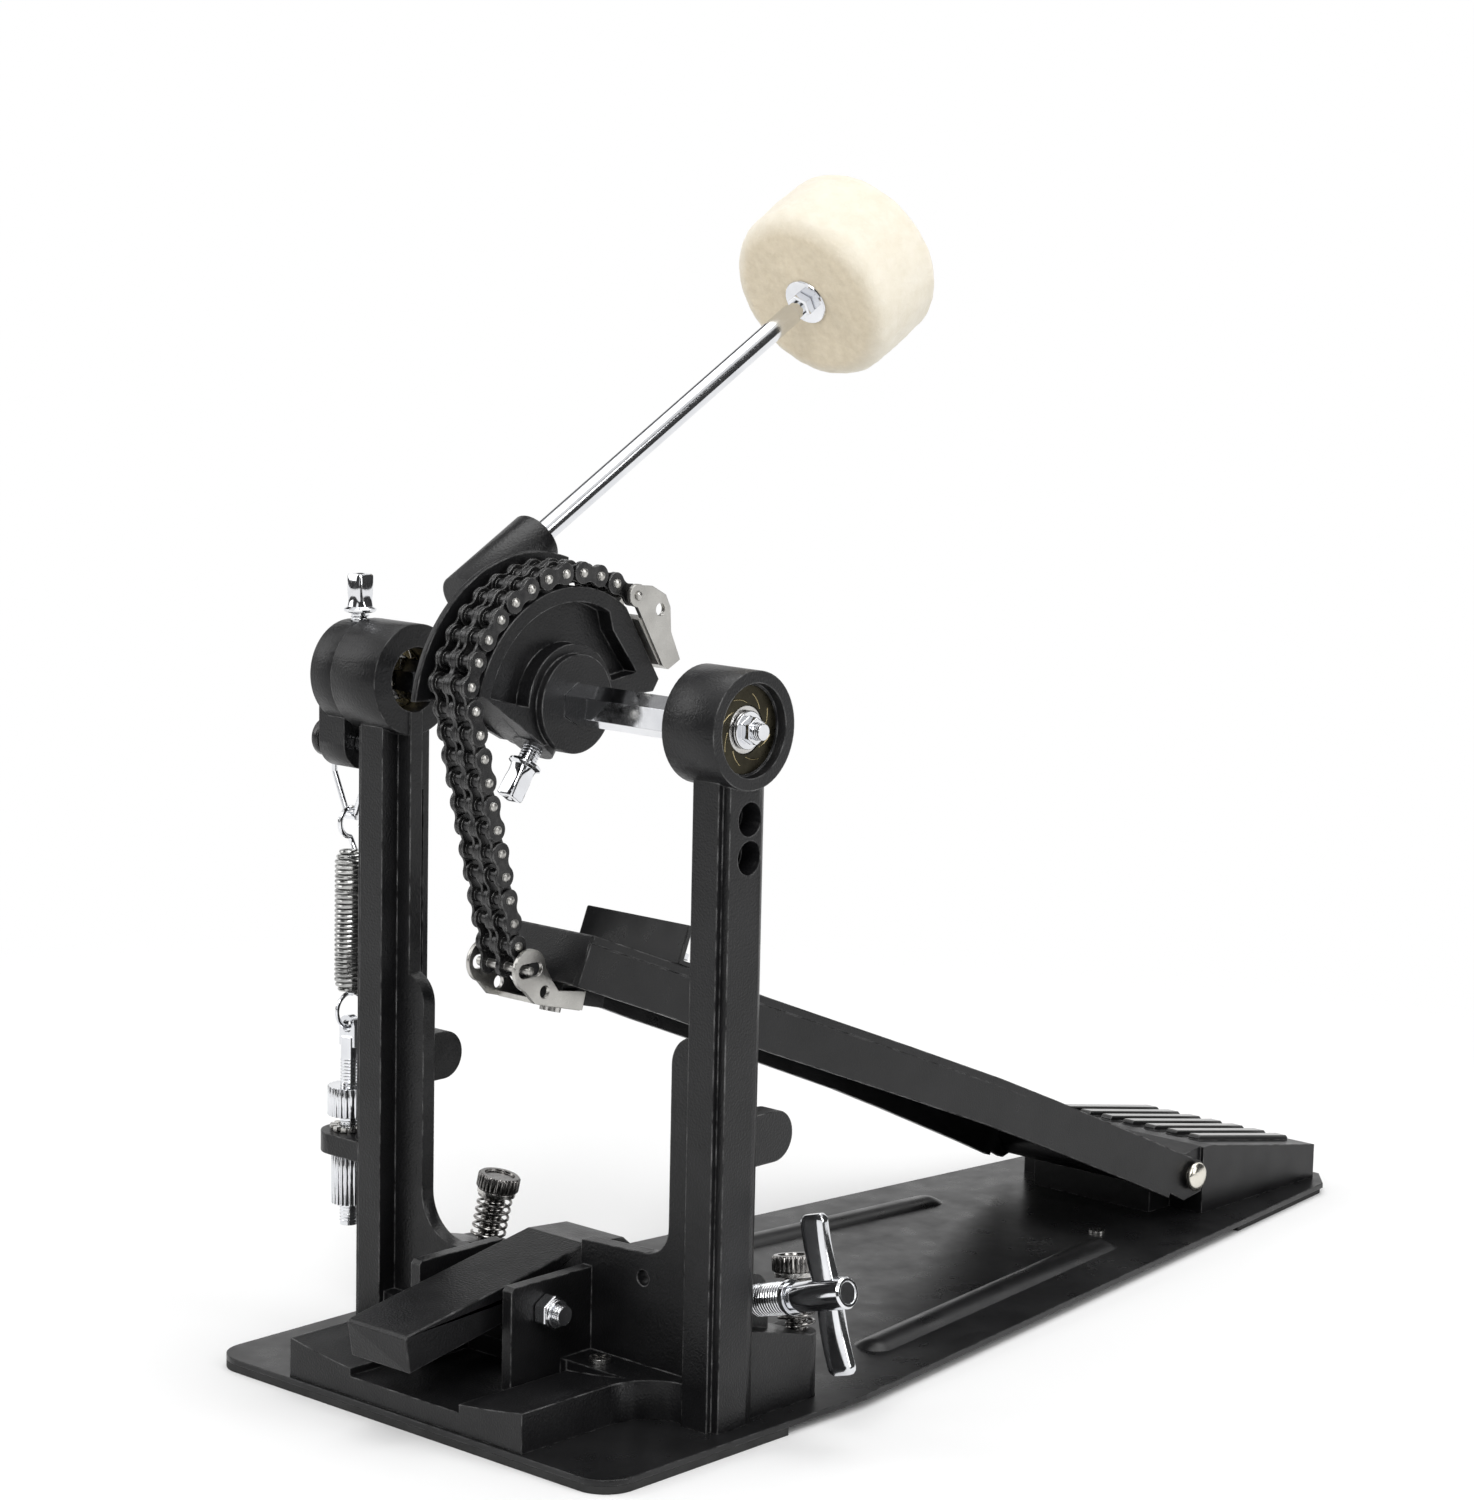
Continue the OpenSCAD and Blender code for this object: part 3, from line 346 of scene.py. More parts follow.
class Build:
    """Collects rings and faces, then makes one piece of the object."""

    def __init__(self, place=None):
        self.points = []
        self.faces = []
        self.slots = []
        self.slot = 0
        self.place = place or Matrix.Identity(4)

    def face(self, corners):
        self.faces.append(corners)
        self.slots.append(self.slot)

    def loft(self, rings, closed=False, caps=True):
        """Skins a list of rings with the same number of points."""
        start = len(self.points)
        count = len(rings[0])
        for ring in rings:
            self.points.extend(self.place @ Vector(p) for p in ring)
        total = len(rings)
        for k in range(total if closed else total - 1):
            a = start + k * count
            b = start + (k + 1) % total * count
            for i in range(count):
                j = (i + 1) % count
                self.face((a + i, a + j, b + j, b + i))
        if caps and not closed:
            self.face(tuple(start + i for i in reversed(range(count))))
            self.face(tuple(start + (total - 1) * count + i for i in range(count)))

    def lathe(self, profile, sides=48, closed=False):
        """Turns (radius, height) pairs about local Z."""
        angles = [2 * math.pi * i / sides for i in range(sides)]
        self.loft([[(r * math.cos(a), r * math.sin(a), z) for a in angles] for r, z in profile], closed)

    def tube(self, path, radius, sides=10):
        """Round wire along a path."""
        path = [Vector(p) for p in path]
        angles = [2 * math.pi * i / sides for i in range(sides)]
        rings = []
        across = (path[1] - path[0]).orthogonal().normalized()
        for k, point in enumerate(path):
            ahead = path[min(k + 1, len(path) - 1)] - path[max(k - 1, 0)]
            ahead.normalize()
            across = (across - across.dot(ahead) * ahead).normalized()
            other = ahead.cross(across)
            rings.append([point + radius * (math.cos(a) * across + math.sin(a) * other) for a in angles])
        self.loft(rings)

    def plate(self, outline, low, high, chamfer):
        """Flat plate between two heights with a small chamfer round both faces."""
        inset = shrink(outline, chamfer)
        self.loft([[(x, y, low) for x, y in inset], [(x, y, low + chamfer) for x, y in outline],
                   [(x, y, high - chamfer) for x, y in outline], [(x, y, high) for x, y in inset]])

    def piece(self, name, body, materials, replaces=(), flat_angle=35, blend=None):
        """Makes the object; it rides one body, or, when blend is given, stays where it is built without a body.
        The materials are given by name.
        """
        mesh = bpy.data.meshes.new(name)
        mesh.from_pydata([tuple(p) for p in self.points], [], self.faces)
        for material in materials:
            mesh.materials.append(MATERIALS[material])
        mesh.polygons.foreach_set("material_index", self.slots)
        mesh.polygons.foreach_set("use_smooth", [True] * len(mesh.polygons))
        mesh.update()
        mesh.set_sharp_from_angle(angle=math.radians(flat_angle))
        thing = bpy.data.objects.new(name, mesh)
        bpy.context.scene.collection.objects.link(thing)
        if blend:
            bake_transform(thing)
        else:
            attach(thing, body)
        if replaces:
            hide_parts(*replaces)
        return thing


def shrink(outline, amount):
    """Moves each point of a counter-clockwise outline inwards."""
    moved = []
    count = len(outline)
    for i, point in enumerate(outline):
        ahead = Vector(outline[(i + 1) % count]) - Vector(outline[i - 1])
        inward = Vector((-ahead.y, ahead.x)).normalized()
        moved.append(tuple(Vector(point) + amount * inward))
    return moved


def coil(radius_at, low, high, turns, steps=30):
    """Points of a coil about local Z; radius_at gives the radius for a share of the length."""
    total = int(turns * steps)
    return [(radius_at(k / total) * math.cos(2 * math.pi * k / steps),
             radius_at(k / total) * math.sin(2 * math.pi * k / steps),
             low + (high - low) * k / total) for k in range(total + 1)]


def even_coil(radius, low, high, turns, steps=30):
    """Points of a coil with one radius."""
    return coil(lambda share: radius, low, high, turns, steps)


def thread(name, body, place, low, high, radius, pitch, finish="bright_chrome"):
    """Screw thread as a ridge wound round a plain shank."""
    build = Build(place)
    turns = (high - low) / pitch
    build.tube(even_coil(radius - 0.1 * pitch, low, high, turns, 20), 0.3 * pitch, 5)
    build.piece(name, body, [finish], flat_angle=50)


# ---------- chain ----------
PITCH = 6.35 * MM
CHAIN_RADIUS = 36.8 * MM
CAM_CENTRE = Vector((0, -0.3 * MM, SHAFT.z - 3.6 * MM))
LAST_WRAP_ANGLE = math.radians(163)
HANG_LEAN = math.radians(14.42)
PLATE_END = 2.9 * MM
PLATE_WAIST = 1.95 * MM
PIN_RADIUS = 1.15 * MM
PIN_HALF = 7.1 * MM
LONG_PIN_HALF = 9.6 * MM
ROLLER_RADIUS = 1.8 * MM
ROLLER_HALF = 1.6 * MM
ROLLER_PLACE = 3.16 * MM
WRAPPED_PINS = 12
LONG_PINS = (1, 24)
# low and high side of each plate along the pins, in millimetres
OUTER_PLATES = ((-6.35, -5.6), (-0.72, 0.72), (5.6, 6.35))
INNER_PLATES = ((-5.5, -4.75), (-1.57, -0.82), (0.82, 1.57), (4.75, 5.5))


def chain_pin(index):
    """Place of a chain pin, as (y, z)."""
    step = 2 * math.asin(PITCH / 2 / CHAIN_RADIUS)
    turn = LAST_WRAP_ANGLE + (min(index, WRAPPED_PINS) - WRAPPED_PINS) * step
    y = CAM_CENTRE.y + CHAIN_RADIUS * math.cos(turn)
    z = CAM_CENTRE.z + CHAIN_RADIUS * math.sin(turn)
    hang = max(index - WRAPPED_PINS, 0) * PITCH
    return Vector((0, y + hang * math.sin(HANG_LEAN), z - hang * math.cos(HANG_LEAN)))


def waisted_outline():
    """Outline of a link plate: two round ends joined by a hollow waist."""
    half = PITCH / 2
    hollow = (half ** 2 + PLATE_WAIST ** 2 - PLATE_END ** 2) / (2 * (PLATE_END - PLATE_WAIST))
    lift = hollow + PLATE_WAIST
    meet = math.atan2(lift, half)
    sweep = 2 * (math.pi - meet)
    points = []
    for centre, start in ((PITCH, -math.pi + meet), (0, meet)):
        points += [(centre + PLATE_END * math.cos(start + sweep * k / 16),
                    PLATE_END * math.sin(start + sweep * k / 16)) for k in range(17)]
        side = 1 if centre else -1
        first = -math.pi / 2 * side + (math.pi / 2 - meet)
        last = -math.pi / 2 * side - (math.pi / 2 - meet)
        points += [(half + hollow * math.cos(first + (last - first) * k / 6),
                    side * lift + hollow * math.sin(first + (last - first) * k / 6)) for k in range(1, 6)]
    return points


def link_frame(index):
    """Local X along the link, local Z along the shaft."""
    start = chain_pin(index)
    along = (chain_pin(index + 1) - start).normalized()
    return axes(start, (1, 0, 0), along)


def add_plates(build, index, spans):
    build.place = link_frame(index)
    for low, high in spans:
        build.plate(waisted_outline(), low * MM, high * MM, 0.14 * MM)


def add_rollers(build, index):
    for k in (index, index + 1):
        build.place = axes(chain_pin(k), (1, 0, 0))
        for side in (-1, 1):
            low = side * ROLLER_PLACE - ROLLER_HALF
            high = side * ROLLER_PLACE + ROLLER_HALF
            build.lathe([(ROLLER_RADIUS - 0.14 * MM, low), (ROLLER_RADIUS, low + 0.15 * MM),
                         (ROLLER_RADIUS, high - 0.15 * MM), (ROLLER_RADIUS - 0.14 * MM, high)], 20)


def add_pin(build, index):
    half = LONG_PIN_HALF if index in LONG_PINS else PIN_HALF
    build.place = axes(chain_pin(index), (1, 0, 0))
    build.lathe([(0.1 * MM, -half - 0.12 * MM), (0.75 * MM, -half), (PIN_RADIUS, -half + 0.3 * MM),
                 (PIN_RADIUS, half - 0.3 * MM), (0.75 * MM, half), (0.1 * MM, half + 0.12 * MM)], 20)


def make_chain():
    """Duplex chain, with one piece for each body and kind of link."""
    groups = (
        ("chain_wrap_outer_links", "drive", range(1, 10, 2), True, "chain_wrap_outer"),
        ("chain_wrap_inner_links", "drive", range(2, 11, 2), False, "chain_wrap_inner"),
        ("chain_peel_outer_link", "peel_link", (11,), True, "chain_peel_link"),
        ("chain_hang_inner_links", "hanging_chain", range(12, 23, 2), False, "chain_hang_inner"),
        ("chain_hang_outer_links", "hanging_chain", range(13, 24, 2), True, "chain_hang_outer"))
    for name, body, indices, outer, node in groups:
        build = Build()
        for index in indices:
            build.slot = 0
            add_plates(build, index, OUTER_PLATES if outer else INNER_PLATES)
            if outer:
                build.slot = 1
                add_pin(build, index)
                add_pin(build, index + 1)
            else:
                add_rollers(build, index)
        finishes = ["chain_steel", "clevis_steel"] if outer else ["chain_steel"]
        build.piece(name, body, finishes, [node])


# ---------- springs ----------
SPRING_X = JOINTS["spring_swing"]["pos_m"][0]
HOOK_Z = 139.2 * MM
LOOP_Z = 87.4 * MM


def make_return_spring():
    """Tight coil with tapered ends, a closed lower loop and an open hook at the top."""
    low = 92.4 * MM
    high = 131.6 * MM
    place = Matrix.Translation((SPRING_X, 0, 0))
    build = Build(place)

    def radius_at(share):
        end = min(share, 1 - share) / 0.075
        return (2.0 + 1.82 * min(1, end) ** 0.6) * MM

    build.tube(coil(radius_at, low, high, 29), 0.58 * MM, 8)
    build.piece("return_spring_coil", None, ["spring_steel"], ["extension_spring"],
                blend=("return_spring", "spring_end", (SPRING_X, 0, low), (SPRING_X, 0, high)))
    build = Build(place)
    loop = [(0, 4.7 * MM * math.sin(a), LOOP_Z - 4.7 * MM * math.cos(a))
            for a in (math.radians(190 + 12.5 * k) for k in range(28))]
    build.tube([(1.9 * MM, 0, low), (0.9 * MM, -0.3 * MM, low - 0.3 * MM)] + loop, 0.6 * MM, 10)
    build.piece("return_spring_loop", "return_spring", ["bright_chrome"])
    build = Build(place)
    hook = [(0, -3.9 * MM * math.sin(a), HOOK_Z - 3.9 * MM * math.cos(a))
            for a in (math.radians(4 + 11.5 * k) for k in range(27))]
    build.tube([(1.9 * MM, 0, high), (0.8 * MM, 0.2 * MM, high + 1.4 * MM),
                (0.1 * MM, 0.2 * MM, high + 2.6 * MM)] + hook, 0.75 * MM, 12)
    build.piece("return_spring_hook", "spring_end", ["bright_chrome"], ["spring_hook"])


def knurled_ring(radius, height, depth, teeth=30):
    """Ring of shallow teeth, with its sizes in millimetres."""
    ring = []
    for k in range(teeth * 6):
        a = 2 * math.pi * k / (teeth * 6)
        out = radius - depth * (0, 0, 0.5, 1, 1, 0.5)[k % 6]
        ring.append((out * math.cos(a) * MM, out * math.sin(a) * MM, height * MM))
    return ring


def make_spur(side):
    """Open compression spring and screw thread under a knurled head."""
    joint = JOINTS[f"spur_{side}_spin"]
    place = axes(joint["pos_m"], joint["axis"])
    turning = f"spur_turn_{side}"
    nickel = ["dark_nickel"]
    build = Build(place)
    low = 0.9 * MM
    high = 12.5 * MM
    build.tube(even_coil(4.6 * MM, low, high, 5.2), 0.42 * MM, 8)
    build.piece(f"spur_spring_coil_{side}", None, nickel, [f"spur_spring_{side}"],
                blend=("stand", f"spur_slide_{side}",
                       place @ Vector((0, 0, low)), place @ Vector((0, 0, high))))
    build = Build(place)
    build.loft([knurled_ring(*ring) for ring in (
        (5.3, 14.2, 0), (5.95, 14.7, 0.3), (5.95, 18.1, 0.3), (5.4, 18.6, 0), (4.3, 18.6, 0),
        (4.1, 18.0, 0), (0.6, 18.0, 0))])
    build.lathe(mm([(0.4, -17.6), (2.6, -15.4), (2.6, 14.3)]))
    build.piece(f"spur_screw_knurled_{side}", turning, nickel, [f"spur_screw_{side}"])
    build = Build(place)
    build.tube(even_coil(2.75 * MM, -15 * MM, 13.6 * MM, 28, 20), 0.26 * MM, 6)
    build.piece(f"spur_thread_{side}", turning, nickel)


WING_PLACE = axes(JOINTS["wing_turn_joint"]["pos_m"], JOINTS["wing_turn_joint"]["axis"], (0, 0, 1))
BLADE_STEPS = 22


def squircle(power, sides):
    """Points of a unit shape between a circle, power 2, and a square."""
    points = []
    for k in range(sides):
        c = math.cos(2 * math.pi * k / sides)
        s = math.sin(2 * math.pi * k / sides)
        size = (abs(c) ** power + abs(s) ** power) ** (-1 / power)
        points.append((size * c, size * s))
    return points


def make_wing_screw():
    """Cast hub with two blades and a threaded shank; the thread and shank under the spring are dark as painted
    shade.
    """
    build = Build(WING_PLACE)
    build.lathe(mm([(0.2, -48.2), (1.5, -47.8), (2.9, -46), (2.9, 13), (3.6, 13), (3.9, 13.5), (3.95, 20),
                    (4.05, 21), (4.05, 30.7), (3.6, 31.3), (2.9, 31.3), (2.8, 31.05), (0.3, 31.05)]), 56)
    for side in (-1, 1):
        rings = []
        for k in range(BLADE_STEPS + 1):
            share = k / BLADE_STEPS
            out = (2.5 + 17.8 * share) * MM
            # the last tenth of the blade rounds off towards its tip
            round_off = max(0.0, (share - 0.9) / 0.1)
            tip = math.sqrt(max(0.0, 1 - 0.85 * round_off ** 2))
            half_wide = (3.5 + 0.35 * math.sin(share * math.pi / 2)) * (0.55 + 0.45 * tip) * MM
            half_thick = (1.75 - 0.3 * share) * (0.5 + 0.5 * tip) * MM
            along = (24.6 - 0.5 * math.sin(share * math.pi)) * MM
            rings.append([(side * out, half_thick * across, along + half_wide * wide)
                          for wide, across in squircle(6.0, 28)])
        if side < 0:
            rings = [list(reversed(ring)) for ring in rings]
        build.loft(rings)
    build.piece("wing_screw_cast", "wing_turn", ["bright_chrome"], ["wing_screw"])
    # painted shade: the thread under the spring is dark so the gaps between the coils read as shadow
    thread("wing_screw_thread", "wing_turn", WING_PLACE, -45 * MM, 12.6 * MM, 2.95 * MM, 1.25 * MM,
           finish="dark_nickel")
    # dark sleeve over the shank under the spring: painted shade
    build = Build(WING_PLACE)
    build.lathe(mm([(2.8, -0.2), (3.0, 0), (3.0, 12.4), (2.8, 12.5)]))
    build.piece("wing_shank_painted_shade", "wing_turn", ["dark_nickel"])
    build = Build(WING_PLACE)
    low = 0.5 * MM
    high = 11.1 * MM
    build.tube(even_coil(3.98 * MM, low, high, 12.0), 0.31 * MM, 8)
    build.piece("wing_spring_coil", None, ["bright_chrome"], ["wing_spring"],
                blend=("stand", "wing_slide",
                       WING_PLACE @ Vector((0, 0, low)), WING_PLACE @ Vector((0, 0, high))))


# ---------- key bolts ----------
def squared(radius, power, height):
    """Ring between a circle, power 2, and a square, with its sizes in millimetres."""
    return mm([(radius * x, radius * y, height) for x, y in squircle(power, 48)])


def make_key_bolt(name, node, body, place, shank):
    """Square-headed bolt that widens into a bell and a flange."""
    build = Build(place)
    build.loft([squared(*ring) for ring in (
        (0.3, 2, -shank), (1.9, 2, -shank), (2.3, 2, -shank + 0.5), (2.3, 2, -0.1),
        (3.9, 2, 0), (4.3, 2, 0.25), (4.35, 2, 0.9), (4.0, 2, 1.15),
        (3.3, 2.2, 1.5), (2.95, 2.8, 2.4), (2.65, 4.5, 3.8), (2.6, 8, 5.0),
        (2.6, 10, 9.7), (2.35, 9, 10.2), (1.2, 2.4, 10.2), (0.2, 2, 9.6))])
    build.piece(name, body, ["bright_chrome"], [node])
    thread(name + "_thread", body, place, (0.4 - shank) * MM, -0.3 * MM, 2.4 * MM, 0.8 * MM)


ROD_RISE = math.radians(29.8)
ROD_ALONG = Vector((0, math.cos(ROD_RISE), math.sin(ROD_RISE)))
ROD_OFFSET = 29.9 * MM
ROD_X = -16 * MM
ROD_ACROSS = Vector((0, math.sin(ROD_RISE), -math.cos(ROD_RISE)))
SLEEVE = Vector((ROD_X, 0, SHAFT.z)) - ROD_OFFSET * ROD_ACROSS


def make_bolts():
    """Key bolts of the cam, the beater and the rocker."""
    cam_turn = math.radians(-35)
    cam_axis = Vector((0, -math.sin(cam_turn), math.cos(cam_turn)))
    cam_seat = Vector((0.5 * MM, 0, SHAFT.z)) - 18.2 * MM * cam_axis
    make_key_bolt("cam_clamp_bolt", "cam_key_bolt", "drive", axes(cam_seat, -cam_axis, (1, 0, 0)), 12)
    beater_seat = SLEEVE + 12.8 * MM * ROD_ALONG + 10.2 * MM * ROD_ACROSS
    make_key_bolt("beater_clamp_bolt", "beater_key_bolt", "drive",
                  axes(beater_seat, ROD_ACROSS, (1, 0, 0)), 6.8)
    rocker_seat = Vector((-73 * MM, 0, SHAFT.z + 16 * MM))
    make_key_bolt("rocker_clamp_bolt", "rocker_key_bolt", "drive",
                  axes(rocker_seat, (0, 0, 1), (1, 0, 0)), 11.8)


# ---------- felt ----------
FELT_START = 147.5 * MM
FELT_LENGTH = 29 * MM
FELT_RADIUS = 25.6 * MM
FELT_BORE = 2.6 * MM
FELT_SIDES = 160


def make_felt():
    """Pressed felt cylinder with soft rounded rims and a barely lumpy skin."""
    place = axes(SLEEVE + FELT_START * ROD_ALONG, ROD_ALONG)
    rim = 5.5 * MM
    face = FELT_RADIUS - rim - FELT_BORE
    # radius, height and share of the darker end colour
    profile = [(FELT_BORE, 0.0, 1.0)]
    profile += [(FELT_BORE + face * k / 14, 0.0, 1.0) for k in range(1, 15)]
    for k in range(1, 13):
        a = math.pi / 2 * k / 12
        profile.append((FELT_RADIUS - rim + rim * math.sin(a), rim - rim * math.cos(a), max(0, 1 - k / 8)))
    swell = 0.5 * MM
    for k in range(1, 13):
        share = k / 12
        bulge = swell * math.sin(share * math.pi)
        profile.append((FELT_RADIUS + bulge - 0.3 * MM, rim + (FELT_LENGTH - 2 * rim) * share, 0.0))
    for k in range(1, 13):
        a = math.pi / 2 * k / 12
        profile.append((FELT_RADIUS - rim + rim * math.cos(a), FELT_LENGTH - rim + rim * math.sin(a),
                        max(0, (k - 4) / 8)))
    profile += [(FELT_BORE + face * (1 - k / 14), FELT_LENGTH, 1.0) for k in range(1, 15)]
    build = Build(place)
    build.lathe([(r, z) for r, z, share in profile], FELT_SIDES)
    thing = build.piece("beater_felt_pressed", "beater", ["felt_cream"], ["beater_felt"],
                        flat_angle=60)
    shares = [share for r, z, share in profile for i in range(FELT_SIDES)]
    attribute = thing.data.attributes.new("end_share", "FLOAT", "POINT")
    attribute.data.foreach_set("value", shares)
    middle = place @ Vector((0, 0, FELT_LENGTH / 2))
    for vertex in thing.data.vertices:
        spot = Vector(vertex.co)
        lump = noise.fractal(spot * 260, 1.0, 2.0, 3) * 0.22 * MM
        vertex.co = spot + (spot - middle).normalized() * lump


# ---------- small turned parts ----------
def make_turned_parts():
    """Washer and nut at the felt, domed hinge pin, and shields over the bearings with bright arcs laid on them as
    painted highlights.
    """
    chrome = ["bright_chrome"]
    place = axes(SLEEVE + FELT_START * ROD_ALONG, ROD_ALONG)
    build = Build(place)
    build.lathe(mm([(2.45, -0.05), (6.6, -0.05), (6.7, -0.3), (6.5, -0.7), (2.45, -0.95)]), 56)
    build.piece("beater_washer_dished", "beater", chrome, ["beater_washer"])
    build = Build(place)
    build.lathe(mm([(3.5, -1.0), (3.8, -1.3), (3.8, -3.6), (3.3, -4.1), (2.4, -4.1)]), 6)
    build.piece("beater_nut_small", "beater", chrome, ["beater_nut"])
    hinge = JOINTS["board_hinge"]["pos_m"]
    build = Build(axes(hinge, (1, 0, 0)))
    dome = [(4.4 * math.cos(math.radians(a)), 37.9 + 1.5 * math.sin(math.radians(a)))
            for a in range(0, 86, 12)]
    half = [(2.5, 37.0), (4.3, 37.05), (4.45, 37.4)] + dome + [(0.1, 39.4)]
    build.lathe(mm([(r, -z) for r, z in reversed(half)] + half), 64)
    build.piece("hinge_pin_domed", "stand", ["warm_chrome"], ["hinge_pin"])
    # side, lower and upper face and rim radius in millimetres, points of an arc, colours of plate and of the arcs,
    # which are painted highlights
    for side, low, high, rim, points, plate, highlight_arcs in (
            ("right", 65.42, 65.62, 10.95, 9, "shield", "cage_brass"),
            ("left", -58.46, -58.26, 8.5, 5, "cage_brass", "warm_chrome")):
        build = Build(axes((0, 0, SHAFT.z), (1, 0, 0)))
        build.lathe(mm([(6.1, low), (rim, low), (rim, high), (6.1, high)]), 96, closed=True)
        # bright metal arcs on the shield face stand for curved highlights: painted highlights
        build.slot = 1
        for k in range(8):
            first = 2 * math.pi * k / 8
            build.tube(mm([((6.7 + 0.28 * j) * math.cos(first + 0.07 * j),
                            (6.7 + 0.28 * j) * math.sin(first + 0.07 * j), high)
                           for j in range(points)]), 0.13 * MM, 6)
        build.piece("bearing_shield_" + side, "stand", [plate, highlight_arcs])


# ---------- small threads ----------
def make_threads():
    """Threads on the tension rod, the jaw's bolt and both ends of the shaft."""
    rod_place = Matrix.Translation((SPRING_X, 0, 0))
    thread("tension_rod_thread", "stand", rod_place, 28 * MM, 74 * MM, 2.45 * MM, 0.9 * MM)
    pivot_place = axes(JOINTS["jaw_tilt"]["pos_m"], (1, 0, 0))
    thread("clamp_bolt_thread", "stand", pivot_place, 22.5 * MM, 25.4 * MM, 2.5 * MM, 0.8 * MM)
    shaft_place = axes(SHAFT, (1, 0, 0))
    thread("shaft_end_thread", "drive", shaft_place, 69.9 * MM, 71.2 * MM, 2 * MM, 0.6 * MM)
    thread("shaft_left_thread", "drive", shaft_place, -82.3 * MM, -77.4 * MM, 2.4 * MM, 0.8 * MM)


# ---------- light and floor ----------
BOX_COUNT = 4.0
BOX_TURN = 1.1
DOME_LIGHT = 0.55
FLOOR_HALF = 20


def make_floor():
    """Pale floor that fades into the white background."""
    build = Build()
    corners = ((-1, -1), (1, -1), (1, 1), (-1, 1))
    build.loft([[(x * FLOOR_HALF, y * FLOOR_HALF, z) for x, y in corners] for z in (-0.01, 0)])
    mesh = bpy.data.meshes.new("floor")
    mesh.from_pydata([tuple(p) for p in build.points], [], build.faces)
    floor = bpy.data.objects.new("floor", mesh)
    bpy.context.scene.collection.objects.link(floor)
    s = Shader("floor_pale")
    s.link(s.mix(s.noise(3, 2), (0.90, 0.90, 0.90), (0.92, 0.92, 0.92)), s.main.inputs["Base Color"])
    s.set(Roughness=0.9, Specular_IOR_Level=0.1)
    reach = s.add("ShaderNodeVectorMath", operation="LENGTH")
    s.link(s.place, reach.inputs[0])
    glow = s.add("ShaderNodeEmission")
    glow.inputs["Strength"].default_value = 1.0
    fade = s.add("ShaderNodeMixShader")
    s.link(s.ramp(reach.outputs["Value"], 0.26, 0.58), fade.inputs["Fac"])
    s.link(s.main.outputs["BSDF"], fade.inputs[1])
    s.link(glow.outputs["Emission"], fade.inputs[2])
    s.link(fade.outputs["Shader"], s.nodes["Material Output"].inputs["Surface"])
    mesh.materials.append(s.material)


def area_light(name, place, target, size, power):
    """Rectangular light that faces its target."""
    data = bpy.data.lights.new(name, "AREA")
    data.shape = "RECTANGLE"
    data.size, data.size_y = size
    data.energy = power
    light = bpy.data.objects.new(name, data)
    bpy.context.scene.collection.objects.link(light)
    direction = Vector(target) - Vector(place)
    light.matrix_world = Matrix.Translation(place) @ direction.to_track_quat("-Z", "Y").to_matrix().to_4x4()


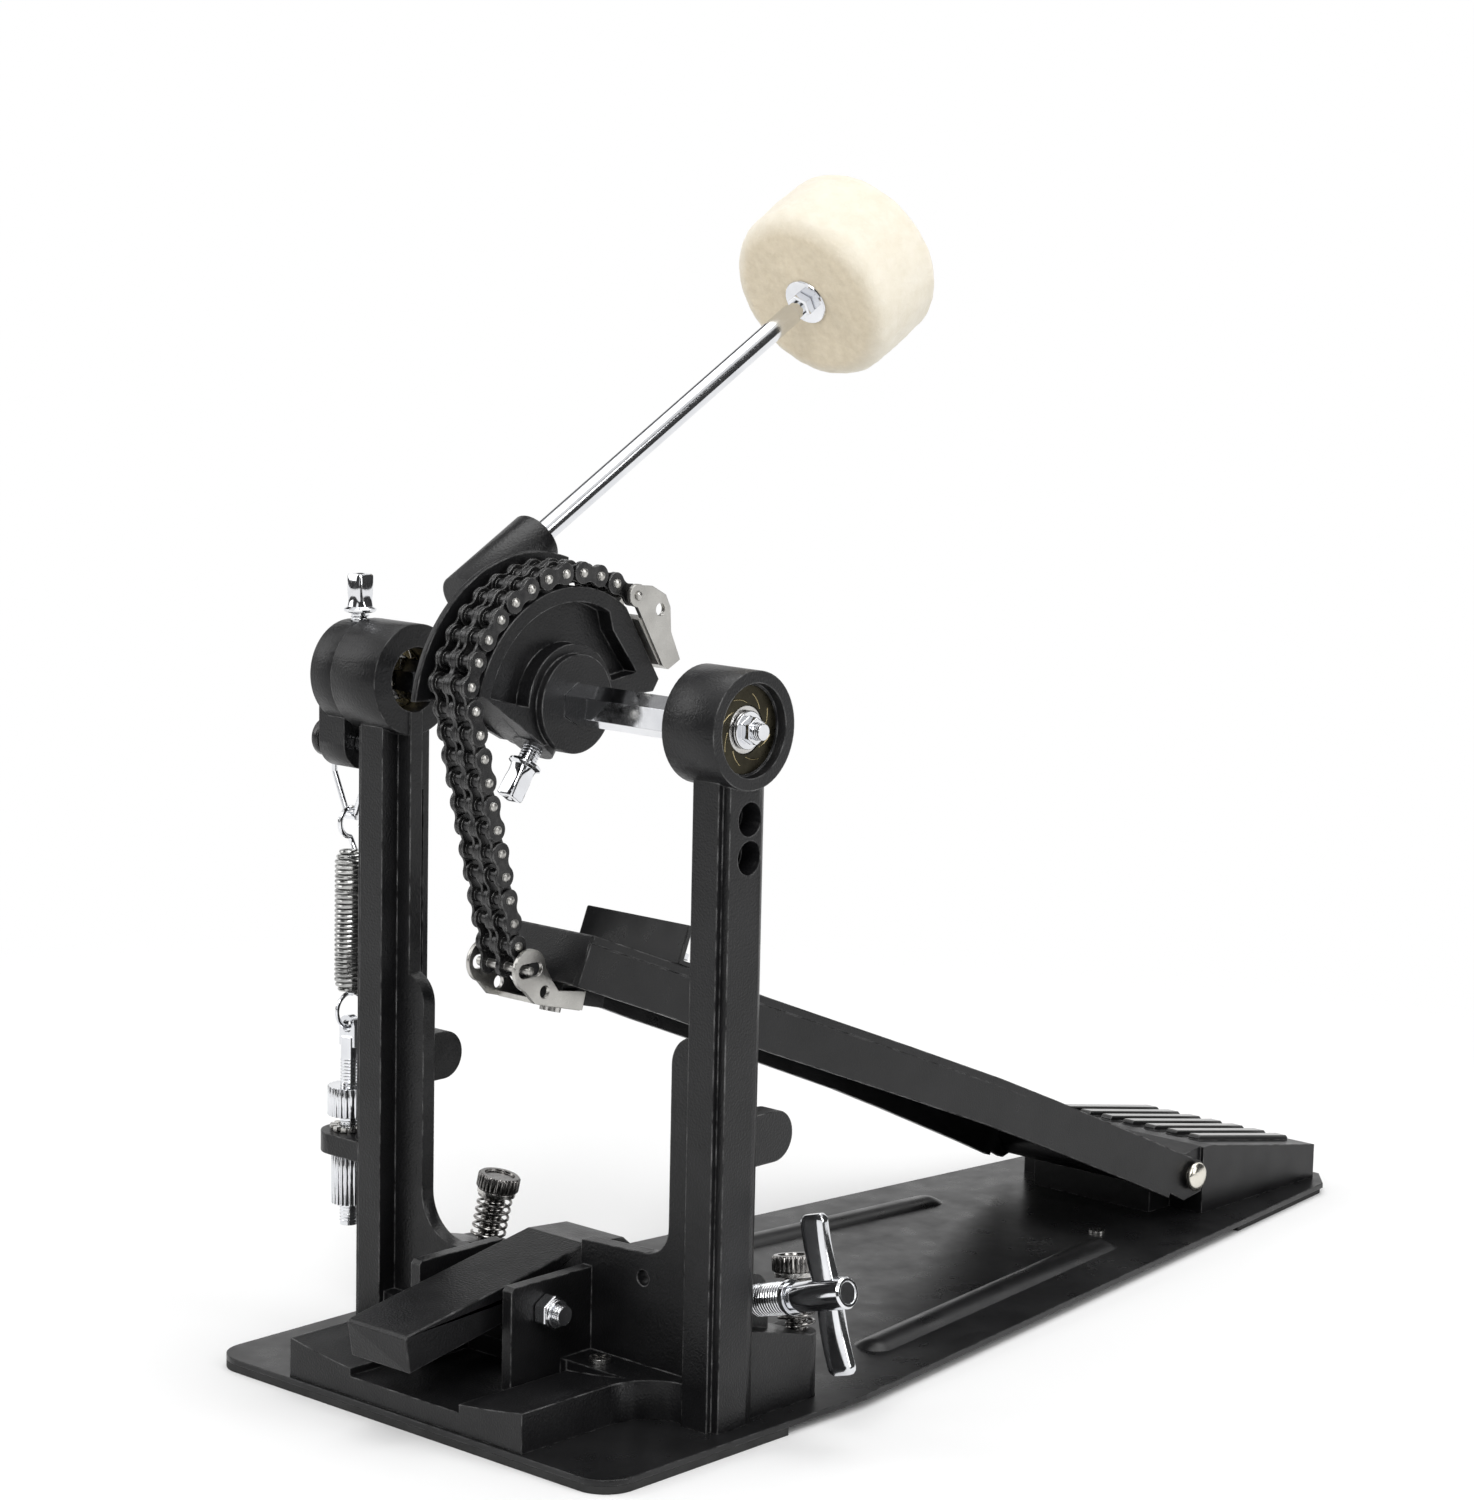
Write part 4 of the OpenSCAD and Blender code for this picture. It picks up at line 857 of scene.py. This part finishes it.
def make_world():
    """White to the camera, an even dome for soft light, and soft boxes with dark gaps for the reflections."""
    world = bpy.data.worlds.new("studio")
    bpy.context.scene.world = world
    world.use_nodes = True
    nodes = world.node_tree.nodes
    links = world.node_tree.links
    nodes.clear()

    def math_node(operation, first, second=0.0):
        node = nodes.new("ShaderNodeMath")
        node.operation = operation
        for k, value in enumerate((first, second)):
            if hasattr(value, "links"):
                links.new(value, node.inputs[k])
            else:
                node.inputs[k].default_value = value
        return node.outputs[0]

    def smooth(value, low, high, low_to, high_to):
        node = nodes.new("ShaderNodeMapRange")
        node.interpolation_type = "SMOOTHSTEP"
        for key, number in (("From Min", low), ("From Max", high), ("To Min", low_to), ("To Max", high_to)):
            node.inputs[key].default_value = number
        links.new(value, node.inputs["Value"])
        return node.outputs["Result"]

    def background(colour, strength):
        node = nodes.new("ShaderNodeBackground")
        if hasattr(colour, "links"):
            links.new(colour, node.inputs["Color"])
        else:
            node.inputs["Color"].default_value = (colour, colour, colour, 1)
        node.inputs["Strength"].default_value = strength
        return node.outputs["Background"]

    def choose(share, first, second):
        node = nodes.new("ShaderNodeMixShader")
        links.new(share, node.inputs["Fac"])
        links.new(first, node.inputs[1])
        links.new(second, node.inputs[2])
        return node.outputs["Shader"]

    place = nodes.new("ShaderNodeTexCoord")
    split = nodes.new("ShaderNodeSeparateXYZ")
    links.new(place.outputs["Generated"], split.inputs["Vector"])
    round_angle = math_node("ARCTAN2", split.outputs["Y"], split.outputs["X"])
    wave = math_node("SINE", math_node("ADD", math_node("MULTIPLY", round_angle, BOX_COUNT), BOX_TURN))
    boxes = smooth(wave, 0.3, 0.85, 0.05, 1.15)
    band = smooth(split.outputs["Z"], 0.05, 0.16, 0.0, 1.0)
    overhead = smooth(split.outputs["Z"], 0.62, 0.8, 0.0, 0.85)
    behind = math_node("ADD", math_node("MULTIPLY", split.outputs["X"], -0.67),
                       math_node("MULTIPLY", split.outputs["Y"], 0.74))
    backdrop = math_node("MULTIPLY", smooth(behind, 0.72, 0.93, 0.0, 1.0),
                         smooth(split.outputs["Z"], 0.5, 0.3, 0.0, 1.0))
    studio = math_node("MAXIMUM", math_node("MULTIPLY", boxes, band), overhead)
    studio = math_node("MAXIMUM", math_node("MAXIMUM", studio, backdrop), 0.04)
    rays = nodes.new("ShaderNodeLightPath")
    seen = choose(rays.outputs["Is Glossy Ray"], background(1.0, DOME_LIGHT), background(studio, 1.0))
    seen = choose(rays.outputs["Is Camera Ray"], seen, background(1.0, 1.0))
    links.new(seen, nodes.new("ShaderNodeOutputWorld").inputs["Surface"])


def make_lights():
    """Three soft boxes round the pedal and one overhead."""
    area_light("key_light", (0.9, -1.3, 1.5), (0, 0.1, 0.12), (0.9, 0.9), 17)
    area_light("side_light", (1.7, 0.5, 0.9), (0, 0.1, 0.12), (0.6, 1.2), 9)
    area_light("left_light", (-1.4, -0.9, 1.0), (0, 0.05, 0.15), (0.6, 1.2), 7)
    area_light("top_light", (-0.2, 0.5, 1.9), (0, 0.1, 0.1), (1.4, 1.4), 13)


bpy.context.scene.view_settings.view_transform = "Standard"
make_camera()
make_world()
make_lights()
make_floor()
paint_frame()
make_chain()
make_return_spring()
make_spur("right")
make_spur("left")
make_wing_screw()
make_bolts()
make_felt()
make_turned_parts()
make_threads()
